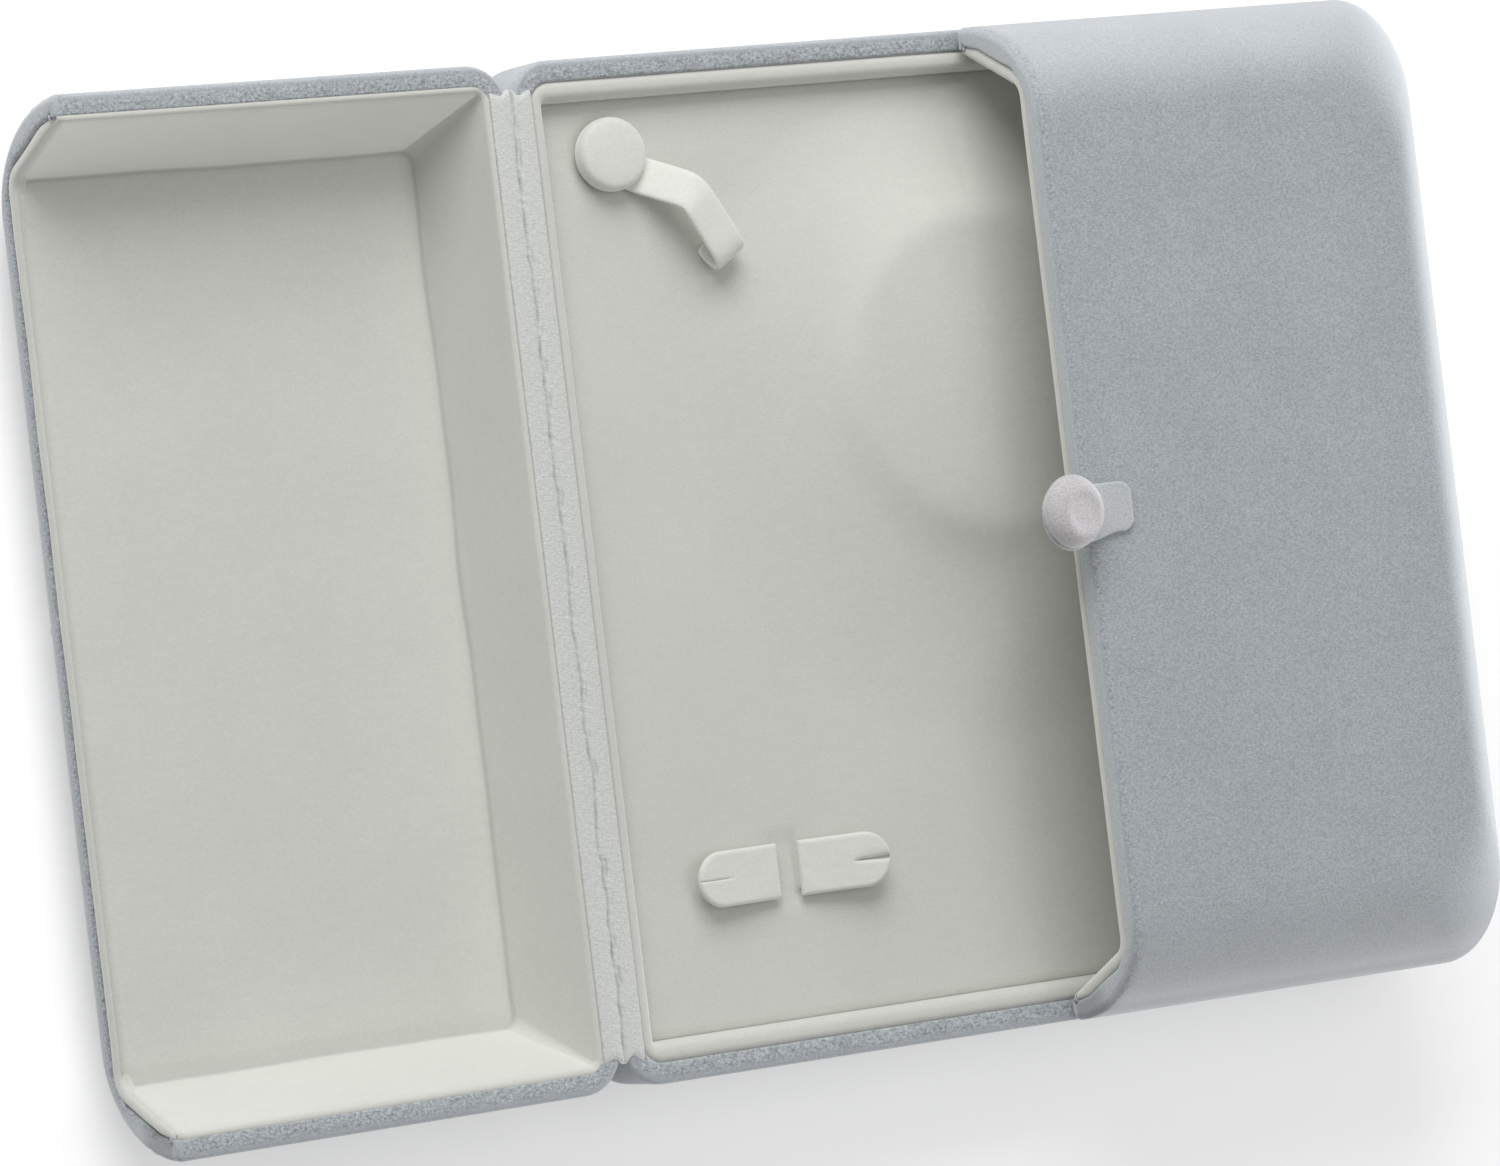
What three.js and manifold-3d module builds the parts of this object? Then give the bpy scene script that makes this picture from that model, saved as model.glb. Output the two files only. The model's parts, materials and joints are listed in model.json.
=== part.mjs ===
// Necklace box with two doors, lying on its back: the left door is open and the right door is closed.
// Millimetres. +X points to the right hinge, +Y along the hinges, +Z out of the padded panel.
// The origin is the middle of the base's flat underside.
import * as THREE from "three";
import { mergeVertices } from "three/addons/utils/BufferGeometryUtils.js";
import Module from "manifold-3d";

const wasm = await Module();
wasm.setup();

// Overall sizes
const BOX_WIDTH = 190; // from hinge axis to hinge axis
const BOX_LENGTH = 190; // along the hinges
const BASE_HEIGHT = 25; // from the table to the base's rim
const DOOR_DEPTH = 25.5; // from a door's rim to its flat top
const RIM_GAP = 1.2; // between the rims of the base and a closed door
const MIDDLE_GAP = 2.4; // between the free edges of the two closed doors
const OPEN_ANGLE = 176.7; // degrees that the left door is open

// Outline and rolled edges
const HINGE_CLEARANCE = 0.3; // from a hinge axis to the covers beside it
const CORNER_RADIUS = 8; // plan corners at the rims
const CROWN_RADIUS = 16; // plan corners at a door's flat top
const INNER_CORNER = 1.5; // smallest plan corner of the inner pieces
const END_ROLL = 20; // reach of a door's roll from its ends
const HINGE_ROLL = 14; // reach of a door's roll from its hinge
const BASE_ROLL = 8; // reach of the roll under the base
const BASE_ROLL_HEIGHT = 12;

// Layers and fits
const VELVET = 0.7; // cover cloth
const RIM_STRIP = 4; // cover turned in over a rim
const EDGE_BAND = 2.6; // cover turned in round a door's free edge
const SHELL_WALL = 1.4; // door shell
const BASE_WALL = 2; // base shell
const FIT = 0.15; // between glued layers
const FOOT = 0.4; // from the table to the base's side cover
const CUT_OVERRUN = 1; // how far a cutting solid passes what it cuts

// Door liner
const LINER_BOARD = 1;
const LINER_SUEDE = 0.6;
const LINER_DROP = 0.3; // from the rim to the liner's top edge
const LINER_VOID = 2.5; // between the liner's floor and the shell's top
const LINER_KNEE = 3; // height of the bevel between the liner's wall and floor
const LINER_CLEARANCE = 0.3; // between the liner and the shell's roll

// Collar and padded panel
const COLLAR_END = 3.7; // visible lip along the ends
const COLLAR_SIDE = 2.6; // visible lip along the hinges
const LIP_ROUND = 0.9;
const PANEL_FIT = 0.3; // between the collar and the panel
const PANEL_DROP = 4; // from the rim to the panel's flat top
const PANEL_CORNER = 3;
const COVER = 0.8; // panel cloth
const CLOTH_FIT = 0.3; // between the cloth and what it covers
const FOAM = 3;
const PANEL_BOARD = 2;
const PAD_ROUND = 2.6; // reach of the pad's rounded edge
const PAD_DROP = 1; // fall of the pad's rounded edge
const RISER_WALL = 2;
const RISER_INSET = 2.2; // from the panel's edge to the riser
const BUST_PLATEAU = 30; // radius of the raised round
const BUST_FLANK = 20; // reach of its slope
const BUST_HEIGHT = 6;
const BUST_DOME = 0.8; // extra rise in its middle
const BUST_MARGIN = 7; // from the slope's foot to the panel's upper edge

// Necklace hooks
const HOOK_SIDE_INSET = 13.3; // from the panel's side to a hook button's centre
const HOOK_END_INSET = 10.2; // from the panel's upper edge to it
const BUTTON_RADIUS = 6.9;
const BUTTON_HEIGHT = 4.2;
const BUTTON_EDGE = 0.5; // rounding of its lower edge
const BUTTON_ROUND = 2; // height of its rounded shoulder
const BUTTON_LIFT = 0.3; // under a hook button
const STRAP_WIDTH = 7.2;
const STRAP = 1.4; // thickness
const STRAP_LIFT = 0.3; // from the panel to the flat root of the strap
const STRAP_FIT = 0.3; // between the strap and the button's channel
const STRAP_REACH = 20; // from the button's centre to the strap's end, along each side
// Stations of the strap's middle line: x and y from the button's centre and height over the flat root,
// as shares of the reach, and the plan direction in degrees.
const STRAP_SHARES = [
  [-0.145, 0.1, 0, -35],
  [0, 0, 0, -35],
  [0.22, -0.165, 0, -35],
  [0.31, -0.22, 0.035, -31],
  [0.47, -0.31, 0.16, -29],
  [0.62, -0.4, 0.28, -32],
  [0.69, -0.47, 0.315, -42],
  [0.745, -0.555, 0.315, -53],
  [0.88, -0.76, 0.28, -57],
  [1, -0.945, 0.245, -57],
  [1.06, -1.03, 0.19, -57],
  [1.065, -1.04, 0.11, -57],
  [1.02, -0.97, 0.055, -57],
  [0.95, -0.865, 0.04, -57],
];
const RIVET_RADIUS = 1.4;
const RIVET_HEAD = 2.6;
const RIVET_HEAD_HEIGHT = 0.8;
const RIVET_GRIP = 0.6; // how far a rivet enters its button
const WASHER_RADIUS = 4.5;
const WASHER = 1;
const HOLE_FIT = 0.3; // radial, round rivets and posts

// Earring tabs
const TAB_SIDE_INSET = 33.5; // from the panel's left side to the middle between the tabs
const TAB_END_INSET = 27.9; // from the panel's lower edge to the tabs' middle line
const TAB_SPACING = 5; // between the roots of the two tabs
const TAB_LENGTH = 18.5;
const TAB_WIDTH = 10.4;
const TAB = 1.3; // thickness
const TAB_RISE = 10; // degrees
const TAB_LIFT = 0.2; // from the panel to a tab's root
const TAB_SLIT = 0.9;
const TAB_SLIT_LENGTH = 8;
const TONGUE_WIDTH = 8;
const TONGUE_BELOW = 1; // how far a tongue passes the panel board
const SLOT_FIT = 0.3; // round a tongue

// Hinge strips
const HINGE_LEAF = 0.5; // thickness
const HINGE_LEAF_WIDTH = 3.8; // from the hinge axis
const HINGE_LEAF_START = 0.35; // from the hinge axis to a leaf's edge
const HINGE_LEAF_LIFT = 0.05; // between a leaf and its rim
const HINGE_END_INSET = 5.5; // from the box's ends to the strip's ends

// Clasp and snap
const CLASP_Y = 1; // from the middle of the box
const CLASP_TAB = 1; // thickness
const CLASP_TAB_WIDTH = 9.5;
const CLASP_TAB_CORNER = 2.5;
const CLASP_ROOT = 6.5; // length of the part fixed to the door
const CLASP_AXIS_INSET = 3.6; // from the right door's free edge to the fold
const CLASP_FOLD_START = 0.3; // from the fold to the loose part
const CLASP_ROOT_START = 1; // from the fold to the fixed part
const CLASP_REACH = 9.4; // from the fold to the snap's middle
const CLASP_DISC = 6.9; // radius of the tab's round end
const CLASP_RISE = 12; // degrees that the loose part stands up
const SNAP_RADIUS = 6.7; // button
const SNAP_HEIGHT = 4.4;
const SNAP_EDGE = 0.7; // rounding of its lower edge
const SNAP_SIDE = 1.6; // height of its straight side
const SNAP_CROWN = 1.2; // height of its rounded shoulder
const SNAP_DISH = 0.7; // depth of the hollow in its top
const POST_RADIUS = 1.2;
const POST_GRIP = 1.6; // how far the post enters the button
const POST_HEAD = 1.7;
const POST_HEAD_HEIGHT = 0.4;
const SOCKET_RADIUS = 3.8;
const SOCKET_HEIGHT = 2;
const SOCKET_WALL = 0.7; // between the tab and the socket's bore
const SOCKET_BORE = 2.1; // radius
const STUD_FLANGE = 2.7; // radius
const STUD_FLANGE_HEIGHT = 0.5;
const STUD_NECK = 1.2;
const STUD_BULB = 1.6;
const STUD_HEIGHT = 2.2;
const STUD_WASHER = 0.8;
const STUD_WASHER_CLEARANCE = 0.25; // to the cover turned in at the free edge
const STUD_CLINCH = 0.4;

// Fineness of curves
const CORNER_STEPS = 5;
const ROLL_STEPS = 7;
const PAD_EDGE_STEPS = 5;
const BUST_STEPS = 5;
const TURN_STEPS = 24;
const MERGE_DISTANCE = 1e-4;

// Values that follow from the sizes above
const hingeHeight = BASE_HEIGHT + RIM_GAP / 2;
const freeEdge = (BOX_WIDTH - MIDDLE_GAP) / 2; // from a hinge axis to its door's free edge
const shellOuter = VELVET + FIT;
const shellInner = shellOuter + SHELL_WALL;
const baseInner = shellOuter + BASE_WALL;
const doorTop = RIM_GAP / 2 + DOOR_DEPTH; // over the hinge axis
const panelTop = BASE_HEIGHT - PANEL_DROP;
const foamTop = panelTop - COVER - CLOTH_FIT;
const foamBottom = foamTop - FOAM;
const boardTop = foamBottom - FIT;
const boardBottom = boardTop - PANEL_BOARD;
const baseFloor = FOOT + baseInner;
const sideInset = RIM_STRIP + COLLAR_SIDE + PANEL_FIT;
const endInset = RIM_STRIP + COLLAR_END + PANEL_FIT;
const panelHalfWidth = BOX_WIDTH / 2 - HINGE_CLEARANCE - sideInset;
const panelHalfLength = BOX_LENGTH / 2 - endInset;
const bustFoot = BUST_PLATEAU + BUST_FLANK;
const bustY = panelHalfLength - BUST_MARGIN - bustFoot;
const hookX = panelHalfWidth - HOOK_SIDE_INSET;
const hookY = panelHalfLength - HOOK_END_INSET;
const tabX = TAB_SIDE_INSET - panelHalfWidth;
const tabY = TAB_END_INSET - panelHalfLength;
const strapStations = STRAP_SHARES.map(([x, y, z, turn]) => {
  return [x * STRAP_REACH, y * STRAP_REACH, z * STRAP_REACH, turn];
});
const linerFloor = DOOR_DEPTH - shellInner - LINER_VOID; // depth of its outer face
const studInset = CLASP_REACH - CLASP_AXIS_INSET - MIDDLE_GAP; // from the left door's free edge
const studFromHinge = freeEdge - studInset;

const VELVET_GREY = 0xa4a8ac;
const PALE_GREY = 0xc6c9c8;
const BUTTON_MAUVE = 0xcbc7cb;
const CREAM = 0xdedccf;
const CARD = 0xb5a994;
const FOAM_WHITE = 0xe9e6da;
const NICKEL = 0xb4b6b8;

const box = new THREE.Group();
box.name = "necklace_box";

function radians(degrees) {
  return THREE.MathUtils.degToRad(degrees);
}

// Adds one named piece to a group.
function addPiece(group, name, geometry, color, roughness = 0.95, metalness = 0) {
  const material = new THREE.MeshStandardMaterial({ color, roughness, metalness });
  const mesh = new THREE.Mesh(geometry, material);
  mesh.name = name;
  group.add(mesh);
  return mesh;
}

// A geometry as a solid for adding and cutting.
function solid(geometry) {
  const bare = new THREE.BufferGeometry();
  bare.setAttribute("position", geometry.getAttribute("position"));
  bare.setIndex(geometry.index);
  const merged = mergeVertices(bare, MERGE_DISTANCE);
  const mesh = new wasm.Mesh({
    numProp: 3,
    vertProperties: new Float32Array(merged.getAttribute("position").array),
    triVerts: new Uint32Array(merged.index.array),
  });
  return new wasm.Manifold(mesh);
}

// A solid as a geometry for a mesh.
function geometryOf(made) {
  const mesh = made.getMesh();
  const geometry = new THREE.BufferGeometry();
  geometry.setAttribute("position", new THREE.BufferAttribute(mesh.vertProperties, 3));
  geometry.setIndex(new THREE.BufferAttribute(mesh.triVerts, 1));
  geometry.computeVertexNormals();
  return geometry;
}

function cut(geometry, ...tools) {
  return geometryOf(tools.reduce((made, tool) => made.subtract(solid(tool)), solid(geometry)));
}

// A quarter turn of plan points, counter-clockwise.
function quarter(x, y, radius, startDegrees) {
  return Array.from({ length: CORNER_STEPS + 1 }, (_, i) => {
    const angle = radians(startDegrees + (90 * i) / CORNER_STEPS);
    return new THREE.Vector2(x + radius * Math.cos(angle), y + radius * Math.sin(angle));
  });
}

// A rounded rectangle about the middle, counter-clockwise, with its straight sides in equal steps.
function roundedLoop(halfX, halfY, radius, sideSteps = 1) {
  const x = halfX - radius;
  const y = halfY - radius;
  const corners = [
    quarter(x, -y, radius, -90),
    quarter(x, y, radius, 0),
    quarter(-x, y, radius, 90),
    quarter(-x, -y, radius, 180),
  ];
  return corners.flatMap((corner, i) => {
    const last = corner[CORNER_STEPS];
    const next = corners[(i + 1) % corners.length][0];
    const side = Array.from({ length: sideSteps - 1 }, (_, k) =>
      last.clone().lerp(next, (k + 1) / sideSteps),
    );
    return [...corner, ...side];
  });
}

// Plan points lifted to one height.
function ring(loop, z) {
  return loop.map((point) => new THREE.Vector3(point.x, point.y, z));
}

// A closed surface through rings of equal count. Open ends get a cap, and a closed band joins its ends.
function loft(rings, band = false) {
  const count = rings[0].length;
  const points = rings.flat();
  const index = [];
  const joins = band ? rings.length : rings.length - 1;
  for (let i = 0; i < joins; i++) {
    const low = i * count;
    const high = ((i + 1) % rings.length) * count;
    for (let k = 0; k < count; k++) {
      const next = (k + 1) % count;
      index.push(low + k, low + next, high + next, low + k, high + next, high + k);
    }
  }
  if (!band) {
    const last = (rings.length - 1) * count;
    for (const [start, first, second] of [
      [0, 1, 0],
      [last, 0, 1],
    ]) {
      const middle = new THREE.Vector3();
      points.slice(start, start + count).forEach((point) => middle.add(point));
      points.push(middle.divideScalar(count));
      for (let k = 0; k < count; k++) {
        const pair = [start + k, start + ((k + 1) % count)];
        index.push(pair[first], pair[second], points.length - 1);
      }
    }
  }
  const geometry = new THREE.BufferGeometry().setFromPoints(points);
  geometry.setIndex(index);
  geometry.computeVertexNormals();
  return geometry;
}

// A turned piece about +Z from radius and height pairs, listed upwards on the outside.
function turned(profile) {
  const points = profile.map(([radius, z]) => new THREE.Vector2(radius, z));
  return new THREE.LatheGeometry(points, TURN_STEPS).rotateX(Math.PI / 2);
}

// A drill about +Z.
function drill(radius, bottom, top, x = 0, y = 0) {
  const geometry = new THREE.CylinderGeometry(radius, radius, top - bottom, TURN_STEPS);
  geometry.rotateX(Math.PI / 2);
  return geometry.translate(x, y, (top + bottom) / 2);
}

// A block between two corners.
function block(x0, x1, y0, y1, z0, z1) {
  const geometry = new THREE.BoxGeometry(x1 - x0, y1 - y0, z1 - z0);
  return geometry.translate((x0 + x1) / 2, (y0 + y1) / 2, (z0 + z1) / 2);
}

// Steps of a quarter turn from a start angle to 90 degrees.
function rollAngles(start = 0) {
  return Array.from({ length: ROLL_STEPS + 1 }, (_, i) => {
    return start + ((Math.PI / 2 - start) * i) / ROLL_STEPS;
  });
}

// Base: side cover, shell and bottom sheet

function baseRing(inset, z, offset) {
  const halfX = BOX_WIDTH / 2 - HINGE_CLEARANCE - inset;
  const halfY = BOX_LENGTH / 2 - inset;
  const radius = Math.max(CORNER_RADIUS - offset, INNER_CORNER);
  return ring(roundedLoop(halfX, halfY, radius), z);
}

// The base's lower roll at an offset inside its cover, from the side down to the flat bottom.
function baseRoll(offset) {
  return rollAngles().map((angle) => {
    const inset = offset + (BASE_ROLL - offset) * (1 - Math.cos(angle));
    const z = FOOT + offset + (BASE_ROLL_HEIGHT - offset) * (1 - Math.sin(angle));
    return baseRing(inset, z, offset);
  });
}

const baseVelvet = loft(
  [
    ...baseRoll(0).reverse(),
    baseRing(0, BASE_HEIGHT, 0),
    baseRing(RIM_STRIP, BASE_HEIGHT, RIM_STRIP),
    baseRing(RIM_STRIP, BASE_HEIGHT - VELVET, RIM_STRIP),
    baseRing(VELVET, BASE_HEIGHT - VELVET, VELVET),
    ...baseRoll(VELVET),
  ],
  true,
);
addPiece(box, "base_velvet", baseVelvet, VELVET_GREY);

const baseShell = loft([
  ...baseRoll(shellOuter).reverse(),
  baseRing(shellOuter, BASE_HEIGHT - shellOuter, shellOuter),
  baseRing(baseInner, BASE_HEIGHT - shellOuter, baseInner),
  ...baseRoll(baseInner),
]);
addPiece(box, "base_shell", baseShell, CARD);

const baseSheet = loft([
  baseRing(BASE_ROLL + FIT, 0, FIT),
  baseRing(BASE_ROLL + FIT, FOOT + VELVET, FIT),
]);
addPiece(box, "base_bottom_sheet", baseSheet, VELVET_GREY);

// Collar and panel

function collarRing(sideWidth, endWidth, z) {
  const halfX = BOX_WIDTH / 2 - HINGE_CLEARANCE - sideWidth;
  const halfY = BOX_LENGTH / 2 - endWidth;
  const radius = Math.max(CORNER_RADIUS - endWidth, INNER_CORNER);
  return ring(roundedLoop(halfX, halfY, radius), z);
}

const collarOuter = baseInner + FIT;
const collarShoulder = BASE_HEIGHT - VELVET - FIT;
const lipOuter = RIM_STRIP + FIT;
const lipSide = RIM_STRIP + COLLAR_SIDE;
const lipEnd = RIM_STRIP + COLLAR_END;
const lipTop = BASE_HEIGHT - FIT;
const collar = loft(
  [
    collarRing(collarOuter, collarOuter, boardBottom),
    collarRing(collarOuter, collarOuter, collarShoulder),
    collarRing(lipOuter, lipOuter, collarShoulder),
    collarRing(lipOuter, lipOuter, lipTop - LIP_ROUND / 3),
    collarRing(lipOuter + LIP_ROUND / 3, lipOuter + LIP_ROUND / 3, lipTop),
    collarRing(lipSide - LIP_ROUND, lipEnd - LIP_ROUND, lipTop),
    collarRing(lipSide - LIP_ROUND / 3, lipEnd - LIP_ROUND / 3, lipTop - LIP_ROUND / 3),
    collarRing(lipSide, lipEnd, lipTop - LIP_ROUND),
    collarRing(lipSide, lipEnd, boardBottom),
  ],
  true,
);
addPiece(box, "base_collar", collar, CREAM);

function panelLoop(inset, sideSteps = 1) {
  const radius = Math.max(PANEL_CORNER - inset, INNER_CORNER);
  return roundedLoop(panelHalfWidth - inset, panelHalfLength - inset, radius, sideSteps);
}

const riser = loft(
  [
    ring(panelLoop(RISER_INSET), baseFloor + FIT),
    ring(panelLoop(RISER_INSET), boardBottom - FIT),
    ring(panelLoop(RISER_INSET + RISER_WALL), boardBottom - FIT),
    ring(panelLoop(RISER_INSET + RISER_WALL), baseFloor + FIT),
  ],
  true,
);
addPiece(box, "panel_riser", riser, CARD);

// Holes and slots that the hooks and the tabs need, through the whole panel.
const panelTools = [-1, 1].map((side) =>
  drill(RIVET_RADIUS + HOLE_FIT, boardBottom - CUT_OVERRUN, panelTop + CUT_OVERRUN, side * hookX, hookY),
);
for (const side of [-1, 1]) {
  const near = tabX + side * (TAB_SPACING / 2 - SLOT_FIT);
  const far = tabX + side * (TAB_SPACING / 2 + TAB + SLOT_FIT);
  const half = TONGUE_WIDTH / 2 + SLOT_FIT;
  panelTools.push(
    block(
      Math.min(near, far),
      Math.max(near, far),
      tabY - half,
      tabY + half,
      boardBottom - CUT_OVERRUN,
      panelTop + CUT_OVERRUN,
    ),
  );
}

const board = loft([ring(panelLoop(0), boardBottom), ring(panelLoop(0), boardTop)]);
addPiece(box, "panel_board", cut(board, ...panelTools), CARD);

const foam = loft([
  ring(panelLoop(0), foamBottom),
  ring(panelLoop(0), foamTop - PAD_DROP),
  ring(panelLoop(PAD_ROUND), foamTop),
]);
addPiece(box, "panel_foam", cut(foam, ...panelTools), FOAM_WHITE);

// Height of the bust over the flat panel at a radius from its middle. Its slope is steep at the plateau
// and runs out level at its foot.
function bustRise(radius) {
  const part = THREE.MathUtils.clamp((bustFoot - radius) / BUST_FLANK, 0, 1);
  const dome = Math.max(0, 1 - (radius / BUST_PLATEAU) ** 2);
  return BUST_HEIGHT * part * part + BUST_DOME * dome;
}

const padLoop = panelLoop(0, PAD_EDGE_STEPS);
const bustAngles = padLoop.map((point) => Math.atan2(point.y - bustY, point.x));

// A ring of the bust, in line with the points of the panel's outline.
function bustRing(radius, z) {
  return bustAngles.map((angle) => {
    return new THREE.Vector3(radius * Math.cos(angle), bustY + radius * Math.sin(angle), z);
  });
}

const bustRadii = Array.from({ length: BUST_STEPS + 1 }, (_, i) => bustFoot - (BUST_FLANK * i) / BUST_STEPS);
bustRadii.push(BUST_PLATEAU * 0.65, BUST_PLATEAU * 0.3);

// The panel's cloth surface at a height offset, from its edge to the bust's middle.
function clothRings(offset) {
  return [
    ring(padLoop, panelTop - PAD_DROP + offset),
    ring(panelLoop(PAD_ROUND * 0.35, PAD_EDGE_STEPS), panelTop - PAD_DROP * 0.35 + offset),
    ring(panelLoop(PAD_ROUND, PAD_EDGE_STEPS), panelTop + offset),
    ...bustRadii.map((radius) => bustRing(radius, panelTop + bustRise(radius) + offset)),
  ];
}

const cloth = loft([...clothRings(-COVER).reverse(), ...clothRings(0)]);
addPiece(box, "panel_cover", cut(cloth, ...panelTools), CREAM);

const formerRadii = bustRadii.slice(2);
const former = loft([
  bustRing(formerRadii[0], foamTop + FIT),
  ...formerRadii.map((radius) => bustRing(radius, foamTop + bustRise(radius))),
]);
addPiece(box, "bust_former", former, CARD);

// Necklace hooks: strap, button, rivet and washer

// A ribbon of even width and thickness through the strap's stations.
function strapRibbon(width, thickness, stations) {
  const places = stations.map(([x, y, z]) => new THREE.Vector3(x, y, z));
  const rings = places.map((place, i) => {
    const before = places[Math.max(i - 1, 0)];
    const after = places[Math.min(i + 1, places.length - 1)];
    const along = after.clone().sub(before).normalize();
    const turn = radians(stations[i][3]);
    const across = new THREE.Vector3(-Math.sin(turn), Math.cos(turn), 0);
    const up = along.clone().cross(across).normalize();
    const corners = [
      [-1, -1],
      [1, -1],
      [1, 1],
      [-1, 1],
    ];
    return corners.map(([a, b]) =>
      place
        .clone()
        .addScaledVector(across, (a * width) / 2)
        .addScaledVector(up, (b * thickness) / 2),
    );
  });
  return loft(rings);
}

function buildHook(name, side) {
  const group = new THREE.Group();
  group.position.set(side * hookX, hookY, panelTop);
  group.scale.x = -side;
  box.add(group);

  const rootMiddle = STRAP_LIFT + STRAP / 2;
  const bore = drill(RIVET_RADIUS + HOLE_FIT, -CUT_OVERRUN, STRAP_LIFT + STRAP + CUT_OVERRUN);
  const strap = strapRibbon(STRAP_WIDTH, STRAP, strapStations).translate(0, 0, rootMiddle);
  addPiece(group, name + "_strap", cut(strap, bore), CREAM);

  // The channel follows the strap's root, grown all round, and runs out under the button's edge.
  const channelTop = STRAP_LIFT + STRAP + STRAP_FIT;
  const channelHalf = STRAP_WIDTH / 2 + STRAP_FIT;
  const rootReach = Math.hypot(strapStations[0][0], strapStations[0][1]);
  const channel = block(
    -rootReach - STRAP_FIT,
    BUTTON_RADIUS + CUT_OVERRUN,
    -channelHalf,
    channelHalf,
    -CUT_OVERRUN,
    channelTop,
  );
  channel.rotateZ(radians(strapStations[0][3]));
  const ramp = strapRibbon(STRAP_WIDTH + 2 * STRAP_FIT, STRAP + 2 * STRAP_FIT, strapStations.slice(1, 6));
  ramp.translate(0, 0, rootMiddle);
  const rivetTop = channelTop + RIVET_GRIP;
  const rivetBore = drill(RIVET_RADIUS + HOLE_FIT, 0, rivetTop + FIT);
  const top = BUTTON_LIFT + BUTTON_HEIGHT;
  const button = turned([
    [0, BUTTON_LIFT],
    [BUTTON_RADIUS - BUTTON_EDGE * 0.8, BUTTON_LIFT],
    [BUTTON_RADIUS, BUTTON_LIFT + BUTTON_EDGE],
    [BUTTON_RADIUS, top - BUTTON_ROUND * 0.95],
    [BUTTON_RADIUS * 0.93, top - BUTTON_ROUND * 0.5],
    [BUTTON_RADIUS * 0.75, top - BUTTON_ROUND * 0.2],
    [BUTTON_RADIUS * 0.4, top - BUTTON_ROUND * 0.05],
    [0, top],
  ]);
  addPiece(group, name + "_button", cut(button, channel, ramp, rivetBore), CREAM);

  const washerTop = boardBottom - panelTop - FIT;
  const washerBottom = washerTop - WASHER;
  const headTop = washerBottom - FIT;
  const rivet = turned([
    [0, headTop - RIVET_HEAD_HEIGHT],
    [RIVET_HEAD, headTop - RIVET_HEAD_HEIGHT],
    [RIVET_HEAD, headTop],
    [RIVET_RADIUS, headTop],
    [RIVET_RADIUS, rivetTop],
    [0, rivetTop],
  ]);
  addPiece(group, name + "_rivet", rivet, NICKEL, 0.35, 0.9);

  const washer = turned([
    [RIVET_RADIUS + HOLE_FIT, washerBottom],
    [WASHER_RADIUS, washerBottom],
    [WASHER_RADIUS, washerTop],
    [RIVET_RADIUS + HOLE_FIT, washerTop],
    [RIVET_RADIUS + HOLE_FIT, washerBottom],
  ]);
  addPiece(group, name + "_washer", washer, NICKEL, 0.35, 0.9);
}

buildHook("hook_left", -1);
buildHook("hook_right", 1);

// Earring tabs

function buildTab(name, side) {
  const group = new THREE.Group();
  group.position.set(tabX + (side * TAB_SPACING) / 2, tabY, panelTop + TAB_LIFT);
  group.scale.x = side;
  box.add(group);

  const half = TAB_WIDTH / 2;
  const round = half * 0.95;
  const outline = new THREE.Shape();
  outline.moveTo(0, -half);
  outline.lineTo(TAB_LENGTH - round, -half);
  outline.absarc(TAB_LENGTH - round, -half + round, round, -Math.PI / 2, 0);
  outline.lineTo(TAB_LENGTH, half - round);
  outline.absarc(TAB_LENGTH - round, half - round, round, 0, Math.PI / 2);
  outline.lineTo(0, half);
  const plate = new THREE.ExtrudeGeometry(outline, { depth: TAB, bevelEnabled: false, curveSegments: 8 });
  const slitStart = TAB_LENGTH - TAB_SLIT_LENGTH;
  const slit = block(
    slitStart,
    TAB_LENGTH + CUT_OVERRUN,
    -TAB_SLIT / 2,
    TAB_SLIT / 2,
    -CUT_OVERRUN,
    TAB + CUT_OVERRUN,
  );
  const raised = cut(plate, slit).rotateY(-radians(TAB_RISE));
  const tongueEnd = boardBottom - TONGUE_BELOW - panelTop - TAB_LIFT;
  const tongue = block(0, TAB, -TONGUE_WIDTH / 2, TONGUE_WIDTH / 2, tongueEnd, TAB / 2);
  addPiece(group, name, geometryOf(solid(raised).add(solid(tongue))), CREAM);
}

buildTab("earring_tab_left", -1);
buildTab("earring_tab_right", 1);

// Doors

// A closed plan loop of a door: square at its free edge, round at its two hinge corners.
function doorLoop(hingeInset, endWidth, radius, edge) {
  const y = BOX_LENGTH / 2 - endWidth;
  return [
    new THREE.Vector2(edge, -y),
    new THREE.Vector2(edge, y),
    ...quarter(hingeInset + radius, y - radius, radius, 90),
    ...quarter(hingeInset + radius, -y + radius, radius, 180),
  ];
}

// One ring of a door's outer form at an offset inside it. The roll is a quarter ellipse.
function doorRing(offset, angle, edge) {
  const rolled = 1 - Math.cos(angle);
  const hingeInset = HINGE_CLEARANCE + offset + (HINGE_ROLL - offset) * rolled;
  const endWidth = offset + (END_ROLL - offset) * rolled;
  const corner = Math.max(CORNER_RADIUS - offset, INNER_CORNER);
  const radius = corner + (CROWN_RADIUS - CORNER_RADIUS) * Math.sin(angle);
  const z = RIM_GAP / 2 + (DOOR_DEPTH - offset) * Math.sin(angle);
  return ring(doorLoop(hingeInset, endWidth, radius, edge), z);
}

// Moves a copy of a ring by a height.
function liftedRing(points, z) {
  return points.map((point) => new THREE.Vector3(point.x, point.y, point.z + z));
}

// A door's form as a solid from a start depth to its top, with an optional skirt below its rim.
function doorForm(offset, startDepth, edge, skirt = 0) {
  const start = Math.asin(startDepth / (DOOR_DEPTH - offset));
  const rings = rollAngles(start).map((angle) => doorRing(offset, angle, edge));
  return loft(skirt > 0 ? [liftedRing(rings[0], -skirt), ...rings] : rings);
}

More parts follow.
